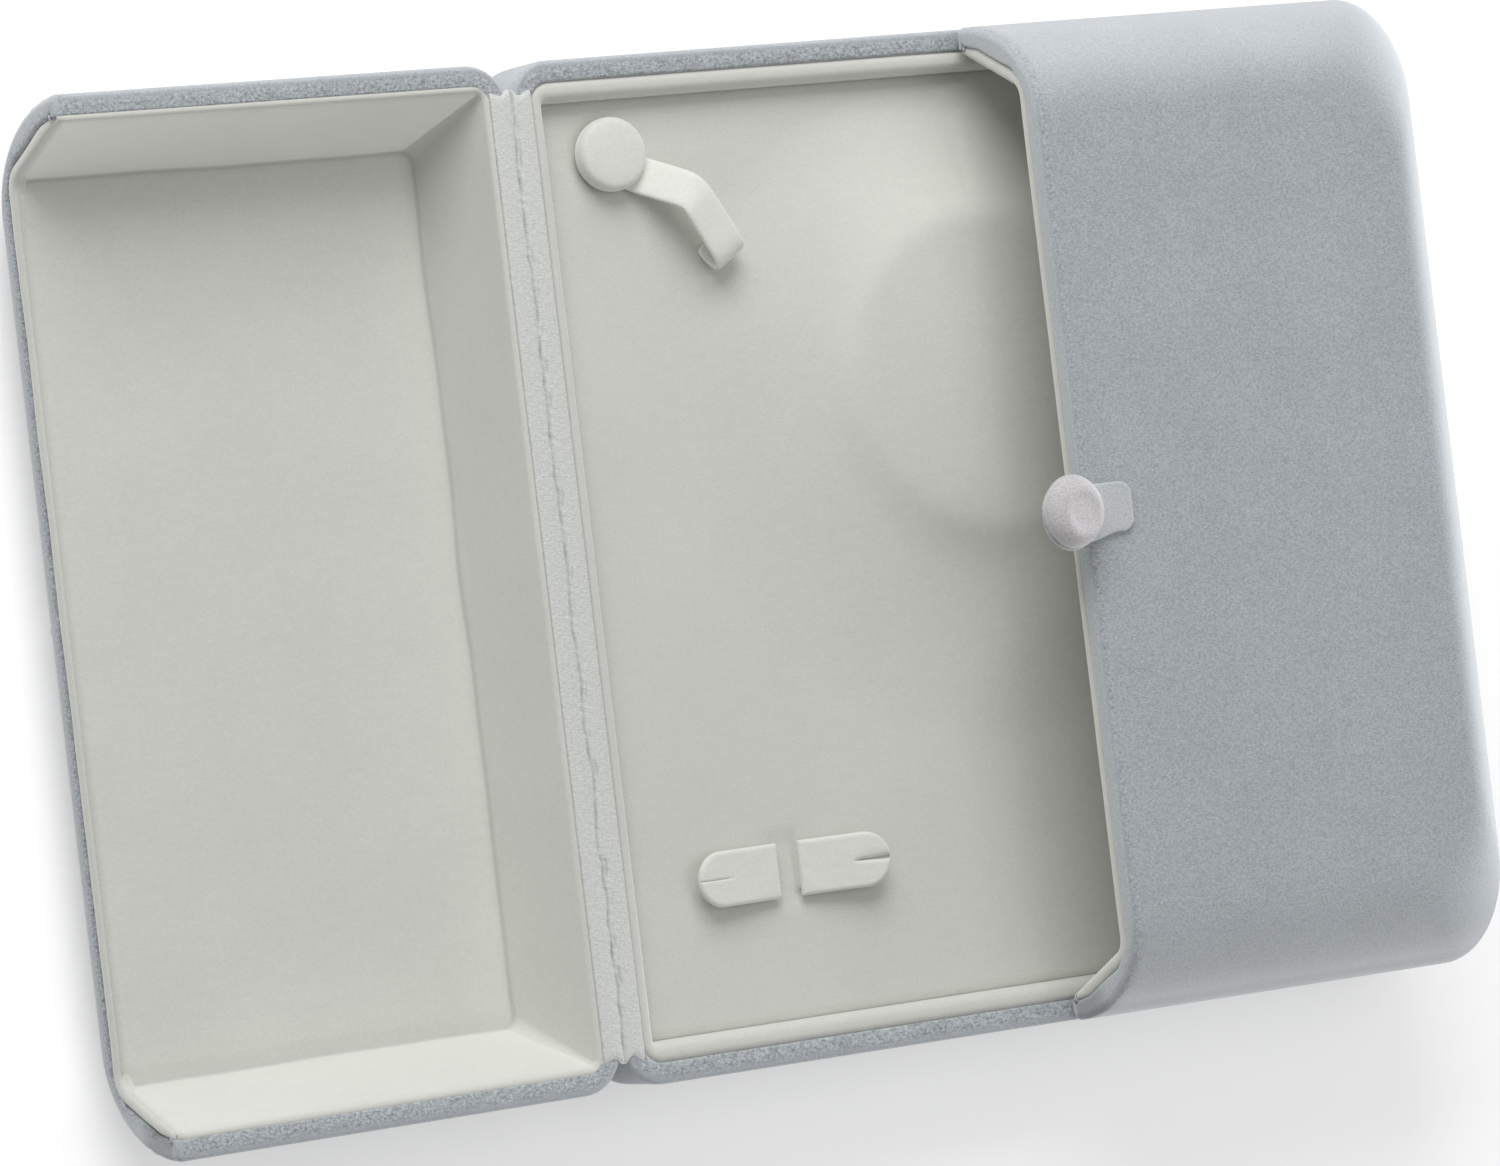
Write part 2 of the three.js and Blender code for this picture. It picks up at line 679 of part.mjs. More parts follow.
// The liner's form at an offset inside its outer face: leaning walls, a bevel and a flat floor.
// The bevel keeps its clearance to the shell's roll.
function linerForm(offset, edge, skirt = 0) {
  const atDepth = (depth) => {
    const angle = Math.asin(depth / (DOOR_DEPTH - shellInner));
    const rolled = 1 - Math.cos(angle);
    const extra = LINER_CLEARANCE + offset;
    const hingeInset = HINGE_CLEARANCE + shellInner + (HINGE_ROLL - shellInner) * rolled + extra;
    const endWidth = shellInner + (END_ROLL - shellInner) * rolled + extra;
    const corner = Math.max(CORNER_RADIUS - shellInner, INNER_CORNER);
    const radius = corner + (CROWN_RADIUS - CORNER_RADIUS) * Math.sin(angle) - offset / 2;
    return doorLoop(hingeInset, endWidth, radius, edge);
  };
  const rimInset = RIM_STRIP + FIT + offset;
  const rimRadius = Math.max(CORNER_RADIUS - rimInset, INNER_CORNER);
  const rim = ring(
    doorLoop(HINGE_CLEARANCE + rimInset, rimInset, rimRadius, edge),
    RIM_GAP / 2 + LINER_DROP,
  );
  const knee = ring(atDepth(linerFloor - LINER_KNEE), RIM_GAP / 2 + linerFloor - LINER_KNEE - offset / 2);
  const floor = ring(atDepth(linerFloor), RIM_GAP / 2 + linerFloor - offset);
  return loft(skirt > 0 ? [liftedRing(rim, -skirt), rim, knee, floor] : [rim, knee, floor]);
}

function buildDoor(name, group, shellTools) {
  const pastEdge = freeEdge + CUT_OVERRUN;
  const rimOpening = loft([
    liftedRing(doorRing(RIM_STRIP, 0, pastEdge), -CUT_OVERRUN),
    liftedRing(doorRing(RIM_STRIP, 0, pastEdge), VELVET + FIT),
  ]);
  const velvet = cut(
    doorForm(0, 0, freeEdge),
    doorForm(VELVET, VELVET, freeEdge - VELVET),
    doorForm(EDGE_BAND, VELVET, pastEdge),
    rimOpening,
    ...shellTools,
  );
  addPiece(group, name + "_velvet", velvet, VELVET_GREY);

  const shell = cut(
    doorForm(shellOuter, shellOuter, freeEdge - shellOuter),
    doorForm(shellInner, 0, pastEdge, CUT_OVERRUN),
    ...shellTools,
  );
  addPiece(group, name + "_shell", shell, CARD);

  const linerEdge = freeEdge - VELVET - FIT;
  const liner = cut(linerForm(0, linerEdge), linerForm(LINER_BOARD, pastEdge, CUT_OVERRUN));
  addPiece(group, name + "_liner", liner, CARD);

  const suedeOuter = LINER_BOARD + FIT;
  const suede = cut(
    linerForm(suedeOuter, linerEdge),
    linerForm(suedeOuter + LINER_SUEDE, pastEdge, CUT_OVERRUN),
  );
  addPiece(group, name + "_suede", suede, CREAM);
}

const leftDoor = new THREE.Group();
leftDoor.position.set(-BOX_WIDTH / 2, 0, hingeHeight);
leftDoor.rotation.y = -radians(OPEN_ANGLE);
box.add(leftDoor);

const rightDoor = new THREE.Group();
rightDoor.position.set(BOX_WIDTH / 2, 0, hingeHeight);
rightDoor.scale.x = -1;
box.add(rightDoor);

const studHole = drill(STUD_NECK + HOLE_FIT, doorTop - shellInner - CUT_OVERRUN, doorTop + CUT_OVERRUN);
studHole.translate(studFromHinge, CLASP_Y, 0);
buildDoor("left_door", leftDoor, [studHole]);
buildDoor("right_door", rightDoor, []);

// Snap stud in the left door, clinched over a washer inside the shell

const studFoot = doorTop + FIT;
const studWasherTop = doorTop - shellInner - FIT;
const clinchTop = studWasherTop - STUD_WASHER - FIT;
const stud = turned([
  [0, clinchTop - STUD_CLINCH],
  [STUD_NECK + HOLE_FIT * 2, clinchTop - STUD_CLINCH],
  [STUD_NECK + HOLE_FIT * 2, clinchTop],
  [STUD_NECK, clinchTop],
  [STUD_NECK, studFoot],
  [STUD_FLANGE, studFoot],
  [STUD_FLANGE, studFoot + STUD_FLANGE_HEIGHT],
  [STUD_NECK, studFoot + STUD_FLANGE_HEIGHT],
  [STUD_BULB, studFoot + STUD_HEIGHT * 0.68],
  [STUD_NECK, studFoot + STUD_HEIGHT],
  [0, studFoot + STUD_HEIGHT],
]);
addPiece(leftDoor, "snap_stud", stud.translate(studFromHinge, CLASP_Y, 0), NICKEL, 0.3, 0.9);

const studWasherRadius = studInset - shellOuter - STUD_WASHER_CLEARANCE;
const studWasher = turned([
  [STUD_NECK + HOLE_FIT, studWasherTop - STUD_WASHER],
  [studWasherRadius, studWasherTop - STUD_WASHER],
  [studWasherRadius, studWasherTop],
  [STUD_NECK + HOLE_FIT, studWasherTop],
  [STUD_NECK + HOLE_FIT, studWasherTop - STUD_WASHER],
]);
addPiece(leftDoor, "snap_stud_washer", studWasher.translate(studFromHinge, CLASP_Y, 0), NICKEL, 0.35, 0.9);

// Hinge strips: one leaf on each rim

const leafHalf = BOX_LENGTH / 2 - HINGE_END_INSET;
const doorLeafTop = RIM_GAP / 2 - HINGE_LEAF_LIFT;

function doorLeaf() {
  return block(
    HINGE_LEAF_START,
    HINGE_LEAF_WIDTH,
    -leafHalf,
    leafHalf,
    doorLeafTop - HINGE_LEAF,
    doorLeafTop,
  );
}

function baseLeaf(side) {
  const outer = side * (BOX_WIDTH / 2 - HINGE_LEAF_START);
  const inner = side * (BOX_WIDTH / 2 - HINGE_LEAF_WIDTH);
  const bottom = BASE_HEIGHT + HINGE_LEAF_LIFT;
  return block(
    Math.min(outer, inner),
    Math.max(outer, inner),
    -leafHalf,
    leafHalf,
    bottom,
    bottom + HINGE_LEAF,
  );
}

addPiece(leftDoor, "left_hinge_leaf_door", doorLeaf(), PALE_GREY);
addPiece(rightDoor, "right_hinge_leaf_door", doorLeaf(), PALE_GREY);
addPiece(box, "left_hinge_leaf_base", baseLeaf(-1), PALE_GREY);
addPiece(box, "right_hinge_leaf_base", baseLeaf(1), PALE_GREY);

// Clasp: the tab's fixed root on the right door, then the loose part with its button and socket

const claspAxisX = MIDDLE_GAP / 2 + CLASP_AXIS_INSET;
const claspAxisZ = hingeHeight + doorTop + FIT + CLASP_TAB / 2;
const tabHalf = CLASP_TAB_WIDTH / 2;

const rootEnd = claspAxisX + CLASP_ROOT;
const rootOutline = new THREE.Shape();
rootOutline.moveTo(claspAxisX + CLASP_ROOT_START, -tabHalf);
rootOutline.lineTo(rootEnd - CLASP_TAB_CORNER, -tabHalf);
rootOutline.absarc(
  rootEnd - CLASP_TAB_CORNER,
  -tabHalf + CLASP_TAB_CORNER,
  CLASP_TAB_CORNER,
  -Math.PI / 2,
  0,
);
rootOutline.lineTo(rootEnd, tabHalf - CLASP_TAB_CORNER);
rootOutline.absarc(
  rootEnd - CLASP_TAB_CORNER,
  tabHalf - CLASP_TAB_CORNER,
  CLASP_TAB_CORNER,
  0,
  Math.PI / 2,
);
rootOutline.lineTo(claspAxisX + CLASP_ROOT_START, tabHalf);
const claspRoot = new THREE.ExtrudeGeometry(rootOutline, {
  depth: CLASP_TAB,
  bevelEnabled: false,
  curveSegments: 4,
});
claspRoot.translate(0, CLASP_Y, claspAxisZ - CLASP_TAB / 2);
addPiece(box, "clasp_tab_root", claspRoot, PALE_GREY);

const clasp = new THREE.Group();
clasp.position.set(claspAxisX, CLASP_Y, claspAxisZ);
clasp.rotation.y = radians(CLASP_RISE);
box.add(clasp);

// The loose part lies along -X from the fold.
const neck = block(-CLASP_REACH, -CLASP_FOLD_START, -tabHalf, tabHalf, -CLASP_TAB / 2, CLASP_TAB / 2);
const disc = drill(CLASP_DISC, -CLASP_TAB / 2, CLASP_TAB / 2, -CLASP_REACH, 0);
const postHole = drill(POST_RADIUS + HOLE_FIT, -CUT_OVERRUN, CUT_OVERRUN, -CLASP_REACH, 0);
const flap = solid(neck).add(solid(disc)).subtract(solid(postHole));
addPiece(clasp, "clasp_tab", geometryOf(flap), PALE_GREY);

const capBottom = CLASP_TAB / 2 + FIT;
const capTop = capBottom + SNAP_HEIGHT;
const cap = turned([
  [0, capBottom],
  [SNAP_RADIUS - SNAP_EDGE * 0.7, capBottom],
  [SNAP_RADIUS, capBottom + SNAP_EDGE],
  [SNAP_RADIUS, capBottom + SNAP_SIDE],
  [SNAP_RADIUS * 0.9, capTop - SNAP_CROWN],
  [SNAP_RADIUS * 0.7, capTop - SNAP_CROWN / 6],
  [SNAP_RADIUS * 0.58, capTop],
  [SNAP_RADIUS * 0.42, capTop - SNAP_DISH * 0.6],
  [SNAP_RADIUS * 0.2, capTop - SNAP_DISH],
  [0, capTop - SNAP_DISH],
]);
const capBore = drill(POST_RADIUS + HOLE_FIT, capBottom - CUT_OVERRUN, capBottom + POST_GRIP);
addPiece(clasp, "clasp_button", cut(cap, capBore).translate(-CLASP_REACH, 0, 0), BUTTON_MAUVE);

const socketTop = -capBottom;
const socketBottom = socketTop - SOCKET_HEIGHT;
const boreTop = socketTop - SOCKET_WALL;
const socket = turned([
  [SOCKET_BORE, socketBottom],
  [SOCKET_RADIUS, socketBottom],
  [SOCKET_RADIUS, socketTop],
  [POST_RADIUS + HOLE_FIT, socketTop],
  [POST_RADIUS + HOLE_FIT, boreTop],
  [SOCKET_BORE, boreTop],
  [SOCKET_BORE, socketBottom],
]);
addPiece(clasp, "snap_socket", socket.translate(-CLASP_REACH, 0, 0), NICKEL, 0.3, 0.9);

const postHeadTop = boreTop - FIT;
const post = turned([
  [0, postHeadTop - POST_HEAD_HEIGHT],
  [POST_HEAD, postHeadTop - POST_HEAD_HEIGHT],
  [POST_HEAD, postHeadTop],
  [POST_RADIUS, postHeadTop],
  [POST_RADIUS, capBottom + POST_GRIP - FIT],
  [0, capBottom + POST_GRIP - FIT],
]);
addPiece(clasp, "snap_post", post.translate(-CLASP_REACH, 0, 0), NICKEL, 0.35, 0.9);

export default box;
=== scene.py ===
"""Necklace box with two doors, lying on its back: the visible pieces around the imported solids.

Metres. +X points to the right hinge, +Y along the hinges, +Z out of the padded panel.
"""

import json
from functools import wraps

import bmesh
import bpy
import numpy as np
from bpy.props import FloatProperty, FloatVectorProperty, PointerProperty
from mathutils import Matrix, Vector


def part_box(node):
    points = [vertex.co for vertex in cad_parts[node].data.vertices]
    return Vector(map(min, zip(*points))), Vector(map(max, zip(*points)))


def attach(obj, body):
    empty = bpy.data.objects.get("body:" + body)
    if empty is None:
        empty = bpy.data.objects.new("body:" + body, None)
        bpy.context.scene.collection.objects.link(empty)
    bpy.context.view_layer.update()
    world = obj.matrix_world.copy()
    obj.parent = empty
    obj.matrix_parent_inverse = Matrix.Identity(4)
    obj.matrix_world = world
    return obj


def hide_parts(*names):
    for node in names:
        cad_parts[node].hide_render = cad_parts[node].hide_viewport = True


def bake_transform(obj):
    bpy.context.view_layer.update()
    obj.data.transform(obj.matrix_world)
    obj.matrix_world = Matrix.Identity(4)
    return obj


bl_info = {
    "name": "Necklace Box",
    "version": (1, 0, 0),
    "blender": (4, 2, 0),
    "location": "View3D > Sidebar > Necklace Box",
    "description": "Builds a velvet necklace box with two doors around its packed solids",
    "category": "Add Mesh",
}

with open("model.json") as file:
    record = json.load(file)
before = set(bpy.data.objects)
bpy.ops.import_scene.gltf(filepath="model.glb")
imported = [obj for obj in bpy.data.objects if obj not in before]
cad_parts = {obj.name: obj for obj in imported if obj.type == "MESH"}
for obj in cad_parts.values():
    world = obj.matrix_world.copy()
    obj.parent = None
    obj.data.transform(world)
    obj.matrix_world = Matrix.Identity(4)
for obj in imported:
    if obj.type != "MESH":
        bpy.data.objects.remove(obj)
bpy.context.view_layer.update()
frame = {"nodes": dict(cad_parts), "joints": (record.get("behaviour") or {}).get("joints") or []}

MM = 0.001
IMAGE_WIDTH = 1500
FINISH = "_finish"  # ends the names of the finishes, apart from the plain ones of the solids

# Places that come from the frame
JOINTS = {joint["name"]: joint for joint in frame["joints"]}
LEFT_HINGE = np.array(JOINTS["left_door_hinge"]["pos_m"])
RIGHT_HINGE = np.array(JOINTS["right_door_hinge"]["pos_m"])
CLASP_FOLD = np.array(JOINTS["clasp_fold"]["pos_m"])
OPEN_ANGLE = np.radians(JOINTS["left_door_hinge"]["range_deg"][1])
BASE_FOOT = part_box("base_velvet")[0].z
BASE_HALF_X, BASE_HALF_Y, BASE_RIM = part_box("base_velvet")[1]
DOOR_LOW, DOOR_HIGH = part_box("right_door_velvet")
DOOR_TOP = DOOR_HIGH.z - RIGHT_HINGE[2]
DOOR_RIM = DOOR_LOW.z - RIGHT_HINGE[2]
FREE_EDGE = RIGHT_HINGE[0] - DOOR_LOW.x
PANEL_HALF_X, PANEL_HALF_Y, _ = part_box("panel_cover")[1]
HOOK_LOW, HOOK_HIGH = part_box("hook_left_button")
HOOK_X, HOOK_Y = (HOOK_LOW.x + HOOK_HIGH.x) / 2, (HOOK_LOW.y + HOOK_HIGH.y) / 2
TAB_Y = (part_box("earring_tab_left")[0].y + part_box("earring_tab_left")[1].y) / 2
TAB_ROOTS = (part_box("earring_tab_left")[1].x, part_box("earring_tab_right")[0].x)
HINGE_STRIP_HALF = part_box("left_hinge_leaf_base")[1].y
CLASP_ROOT_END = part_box("clasp_tab_root")[1].x

# Outline values shared with the solids
HINGE_CLEARANCE = 0.3 * MM
CORNER_RADIUS = 8 * MM
CROWN_CORNER = 8 * MM  # what a door's plan corner gains up to its crown
SMALL_CORNER = 1.5 * MM
BASE_ROLL = 8 * MM
BASE_ROLL_HEIGHT = 12 * MM
LIP_START = 4.15 * MM
LINER_LIP_START = 3.55 * MM
PANEL_CORNER = 3 * MM
CLASP_REACH = 9.4 * MM
CLASP_RISE = np.radians(12)

# Points along a door's plan path, on an end, a corner and half the hinge, and from a ring to the middle
END_STEPS, CORNER_STEPS, HINGE_STEPS, SPINE_STEPS = 48, 15, 26, 24
SIDE_STEPS = 60  # points along a side of the base

COVER_CLOTH, LINING_CLOTH = 0.5 * MM, 0.4 * MM  # thickness of the cloths
PAINTED_SHEEN = 0.34  # share of painted sheen on the folds at rims and edges

# Strap of a hook: x and y from the button's centre, height over the flat root, as shares of its reach,
# and the plan direction in degrees
STRAP_REACH = 20 * MM
STRAP_SHARES = np.array(
    [
        (-0.145, 0.1, 0, -35), (0, 0, 0, -35), (0.22, -0.165, 0, -35), (0.31, -0.22, 0.035, -31),
        (0.47, -0.31, 0.16, -29), (0.62, -0.4, 0.28, -32), (0.69, -0.47, 0.315, -42),
        (0.745, -0.555, 0.315, -53), (0.88, -0.76, 0.28, -57), (1, -0.945, 0.245, -57),
        (1.06, -1.03, 0.19, -57), (1.065, -1.04, 0.11, -57), (1.02, -0.97, 0.055, -57),
        (0.95, -0.865, 0.04, -57),
    ]
)

# Radius and height of the covered buttons, in millimetres
HOOK_BUTTON = np.array(
    [
        (0, 0.25), (5.6, 0.25), (6.5, 0.5), (6.88, 1.3), (6.92, 2.6), (6.72, 3.35), (6.15, 3.98),
        (4.9, 4.3), (2.8, 4.46), (0, 4.5),
    ]
)
CLASP_BUTTON = np.array(
    [
        (0, 0.62), (5.6, 0.62), (6.5, 0.95), (6.85, 1.75), (6.7, 2.8), (6.0, 3.9), (5.0, 4.65),
        (4.1, 4.85), (3.3, 4.72), (2.2, 4.5), (0, 4.44),
    ]
)

# Camera: where it stands, where it looks and which way is up in the picture
CAMERA_EYE = Vector((-0.69939, -0.00853, 1.17248))
CAMERA_FORWARD = Vector((0.48855, 0.00259, -0.87253))
CAMERA_UP = Vector((0.10204, 0.99296, 0.06008))
FOCAL_PIXELS = 7060
SENSOR = 36.0


def amount(name, description, value):
    """A plain number property."""
    return FloatProperty(name=name, description=description, default=value, min=0.0)


def length(name, description, value):
    """A length property in metres."""
    return FloatProperty(
        name=name, description=description, default=value, unit="LENGTH", min=0.0, precision=5
    )


def colour(name, description, value):
    """A display colour property."""
    return FloatVectorProperty(
        name=name, description=description, default=value, subtype="COLOR_GAMMA", size=3, min=0.0, max=1.0
    )


class BoxShape(bpy.types.PropertyGroup):
    """Sizes of the soft pieces."""

    rim_fold: length("Rim fold", "Radius of the cover where it turns over a rim", 1.1 * MM)
    rim_strip: length("Rim strip", "Width of the cover on a rim", 4.0 * MM)
    edge_fold: length("Edge fold", "Radius of the cover at a door's free edge", 1.5 * MM)
    edge_band: length("Edge band", "Thickness of a door's wall with its cover", 3.2 * MM)
    end_roll: length("End roll", "Reach of a door's roll from its ends", 20 * MM)
    hinge_roll: length("Hinge roll", "Reach of a door's roll from its hinge", 14 * MM)
    liner_depth: length("Liner depth", "Depth of a door's lined floor under its rim", 19 * MM)
    liner_end: length("Liner end", "Inset of the lined floor from a door's ends", 13.5 * MM)
    liner_hinge: length("Liner hinge", "Inset of the lined floor from a door's hinge", 11.0 * MM)
    liner_lip: length("Liner lip", "Thickness of the liner at a door's rim", 1.6 * MM)
    liner_roll: length("Liner roll", "Thickness of the liner's roll at the free edge", 2.6 * MM)
    collar_end: length("Collar end", "Width of the collar's lip along the ends", 3.7 * MM)
    collar_side: length("Collar side", "Width of the collar's lip along the hinges", 2.6 * MM)
    panel_drop: length("Panel drop", "From the base's rim to the flat panel", 4 * MM)
    pad_round: length("Pad round", "Reach of the panel's rounded edge", 2.6 * MM)
    pad_fall: length("Pad fall", "Fall of the panel's rounded edge", 1.0 * MM)
    bust_plateau: length("Bust plateau", "Radius of the raised round", 30 * MM)
    bust_flank: length("Bust flank", "Reach of the raised round's slope towards the upper end", 20 * MM)
    bust_run: length("Bust run", "Reach of the raised round's slope towards the lower end", 41 * MM)
    bust_height: length("Bust height", "Height of the raised round", 6.5 * MM)
    bust_dome: length("Bust dome", "Extra rise in the middle of the raised round", 0.8 * MM)
    strap_width: length("Strap width", "Width of a hook's strap", 7.2 * MM)
    strap_thickness: length("Strap thickness", "Thickness of a hook's strap", 1.4 * MM)
    tab_length: length("Tab length", "Length of an earring tab", 18.5 * MM)
    tab_width: length("Tab width", "Width of an earring tab", 10.4 * MM)
    tab_thickness: length("Tab thickness", "Thickness of an earring tab", 1.5 * MM)


class BoxFinish(bpy.types.PropertyGroup):
    """Colours and grain of the cloths."""

    grey_velvet: colour("Grey velvet", "Cover outside", (0.64, 0.66, 0.676))
    pale_velvet: colour("Pale velvet", "Hinge strips", (0.845, 0.853, 0.838))
    clasp_velvet: colour("Clasp velvet", "Clasp tab", (0.745, 0.76, 0.77))
    mauve_velvet: colour("Mauve velvet", "Clasp button", (0.755, 0.74, 0.75))
    cream_suede: colour("Cream suede", "Liner, collar and panel", (0.8, 0.803, 0.782))
    trim_suede: colour("Trim suede", "Hook buttons and earring tabs", (0.855, 0.857, 0.838))
    # A paler copy of the trim suede: a painted highlight on the raised straps.
    strap_suede: colour("Strap suede", "Hook straps", (0.893, 0.895, 0.876))
    card: colour("Card", "Boards and shells", (0.71, 0.66, 0.58))
    foam: colour("Foam", "Panel foam", (0.91, 0.9, 0.85))
    nickel: colour("Nickel", "Rivets, washers and snap", (0.72, 0.725, 0.73))
    speckle: length("Speckle", "Size of the velvet's speckle", 0.45 * MM)
    nap: length("Nap", "Size of the suede's nap", 0.5 * MM)


class BoxStage(bpy.types.PropertyGroup):
    """Light and floor."""

    key_power: amount("Key power", "Power of the large lamp beyond the box's upper end", 14.6)
    high_power: amount("High power", "Power of the lamp high over the right door", 3.4)
    low_power: amount("Low power", "Power of the low lamp beside the right door", 7.5)
    sky: amount("Sky", "Strength of the even light from all round", 0.37)
    floor: colour("Floor", "Colour of the floor", (0.93, 0.93, 0.93))
    floor_glow: amount("Floor glow", "What brings the floor to white for the camera", 0.3)


# Lines and shares


def soft_bar(centres, across, up, half_width, half_depth, square_width=0.32, square_depth=0.62, steps=40):
    """A bar carried along a line: rounded sections, |a| ** m + |b| ** n = 1, in each row's own frame."""
    angle = np.linspace(0, 2 * np.pi, steps, endpoint=False)
    wide = np.sign(np.cos(angle)) * np.abs(np.cos(angle)) ** square_width
    deep = np.sign(np.sin(angle)) * np.abs(np.sin(angle)) ** square_depth
    return (
        centres[:, None, :]
        + across[:, None, :] * (np.asarray(half_width)[:, None] * wide)[..., None]
        + up[:, None, :] * (np.asarray(half_depth)[:, None] * deep)[..., None]
    )


def rounded_ends(steps, count):
    """Shares that close both ends of a bar as half rounds over that many rows."""
    share = np.ones(count)
    part = 1 - np.arange(steps) / (steps - 1)
    share[:steps] = np.sqrt(1 - part**2)
    share[-steps:] = share[:steps][::-1]
    return share


def arc_lengths(points):
    """Distance along a line at each of its points."""
    return np.concatenate([[0], np.cumsum(np.linalg.norm(np.diff(points, axis=0), axis=1))])


def spaced(points, places):
    """Points at given distances along a line."""
    along = arc_lengths(points)
    return np.stack([np.interp(places, along, axis) for axis in points.T], axis=1)


def tipped(total, tip_length, steps, power, count):
    """Places along a bar: close together over both tips, and even between them."""
    tip = np.linspace(0, 1, steps + 1)[:-1] ** power * tip_length
    return np.concatenate([tip, np.linspace(tip_length, total - tip_length, count), total - tip[::-1]])


def unit(vectors):
    """Vectors of length 1."""
    return vectors / np.linalg.norm(vectors, axis=-1, keepdims=True)


def bell(value, width):
    """A smooth hump, exp(-(value / width) ** 2)."""
    return np.exp(-((value / width) ** 2))


def quarter_round(part):
    """Rises from 0 to 1 as a quarter circle, sqrt(1 - (1 - part) ** 2)."""
    return np.sqrt(np.maximum(0, 1 - (1 - part) ** 2))


def levelled(plan, level):
    """Plan points with a height for each row."""
    return np.concatenate([plan, np.broadcast_to(level[:, None, None], (*plan.shape[:2], 1))], axis=2)


def panel_level(shape):
    """Height of the flat panel."""
    return BASE_RIM - shape.panel_drop


def linear(display):
    """Linear colour of a display colour, with alpha."""
    shade = np.array(display)
    made = np.where(shade <= 0.04045, shade / 12.92, ((shade + 0.055) / 1.055) ** 2.4)
    return (*made.tolist(), 1.0)


# Meshes


def quads(rows, columns, start, wrap_rows, wrap_columns):
    """Corner indices of the faces between neighbouring points of a grid."""
    index = start + np.arange(rows * columns).reshape(rows, columns)
    if wrap_rows:
        index = np.concatenate([index, index[:1]], axis=0)
    if wrap_columns:
        index = np.concatenate([index, index[:, :1]], axis=1)
    corners = [index[:-1, :-1], index[1:, :-1], index[1:, 1:], index[:-1, 1:]]
    return np.stack(corners, axis=-1).reshape(-1, 4)


def piece(name, grids, material, faces_from=None, faces_to=None, chart=None, **piles):
    """One mesh object from grids of points, each (points, wrap_rows, wrap_columns).

    Points that meet are merged. A closed mesh faces outwards, and an open one faces away from
    faces_from or towards faces_to. chart holds a flat position per point for patterns that follow
    the surface. The piles are shares per point: fold where the pile opens, and on suede and pale
    cloth where shade is painted in creases; one share for a painted highlight; one for painted shade.
    """
    points, faces, start = [], [], 0
    for grid, wrap_rows, wrap_columns in grids:
        rows, columns = grid.shape[:2]
        points.append(grid.reshape(-1, 3))
        faces.append(quads(rows, columns, start, wrap_rows, wrap_columns))
        start += rows * columns
    points = np.concatenate(points)
    faces = np.concatenate(faces)
    mesh = bpy.data.meshes.new(name)
    mesh.from_pydata(points.tolist(), [], faces.tolist())
    for attribute, share in piles.items():
        mesh.attributes.new(attribute, "FLOAT", "POINT").data.foreach_set("value", share.ravel())
    if chart is not None:
        layer = mesh.uv_layers.new(name="cloth")
        layer.data.foreach_set("uv", chart.reshape(-1, 2)[faces.ravel()].ravel())
    shell = bmesh.new()
    shell.from_mesh(mesh)
    bmesh.ops.remove_doubles(shell, verts=shell.verts, dist=0.002 * MM)
    bmesh.ops.dissolve_degenerate(shell, edges=shell.edges, dist=0.001 * MM)
    loose = [vertex for vertex in shell.verts if not vertex.link_faces]
    bmesh.ops.delete(shell, geom=loose, context="VERTS")
    shell.normal_update()
    if faces_from is None and faces_to is None:
        if shell.calc_volume(signed=True) < 0:
            bmesh.ops.reverse_faces(shell, faces=shell.faces)
    else:
        centre = Vector(faces_to if faces_from is None else faces_from)
        leaning = sum(
            face.normal.dot(face.calc_center_median() - centre) * face.calc_area()
            for face in shell.faces
        )
        if (leaning < 0) == (faces_from is not None):
            bmesh.ops.reverse_faces(shell, faces=shell.faces)
    shell.to_mesh(mesh)
    shell.free()
    mesh.polygons.foreach_set("use_smooth", np.ones(len(mesh.polygons), bool))
    mesh.materials.append(material)
    made = bpy.data.objects.new(name, mesh)
    bpy.context.scene.collection.objects.link(made)
    return made


def thicken(made, thickness):
    """Gives a cover its cloth thickness on its hidden side."""
    wall = made.modifiers.new("cloth", "SOLIDIFY")
    wall.thickness = thickness
    wall.offset = -1.0


def fasten(made, body, slot, *solids):
    """Puts a piece on its body, in place of the solids that it shows; its slot is not used."""
    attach(made, body)
    if solids:
        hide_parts(*solids)


def ripple(along, wave, seed):
    """Smooth irregular values between -1 and 1: a sum of sines of unlike lengths and phases."""
    random = np.random.RandomState(seed)
    lengths = wave * random.uniform(0.5, 1.9, 6)
    phases = random.uniform(0, 2 * np.pi, 6)
    waves = [np.sin(2 * np.pi * along / size + phase) for size, phase in zip(lengths, phases)]
    return sum(waves) / 3.2


def smooth_step(value):
    """Rises from 0 to 1 with level ends."""
    part = np.clip(value, 0, 1)
    return part * part * (3 - 2 * part)


def column(values):
    """A row property as a column, to be spread along a path."""
    return np.asarray(values, float)[:, None]


def mirrored(half):
    """A path over half the length, then the same path mirrored in Y, back to its start."""
    other = half[:, -2::-1].copy()
    other[..., 1] *= -1
    return np.concatenate([half, other], axis=1)


def normals_of(first, second):
    """Unit normals of a profile of (first, second) pairs, to the left of its direction."""
    along = np.stack([np.gradient(first), np.gradient(second)], axis=-1)
    along /= np.maximum(np.linalg.norm(along, axis=-1, keepdims=True), 1e-12)
    return -along[:, 1], along[:, 0]


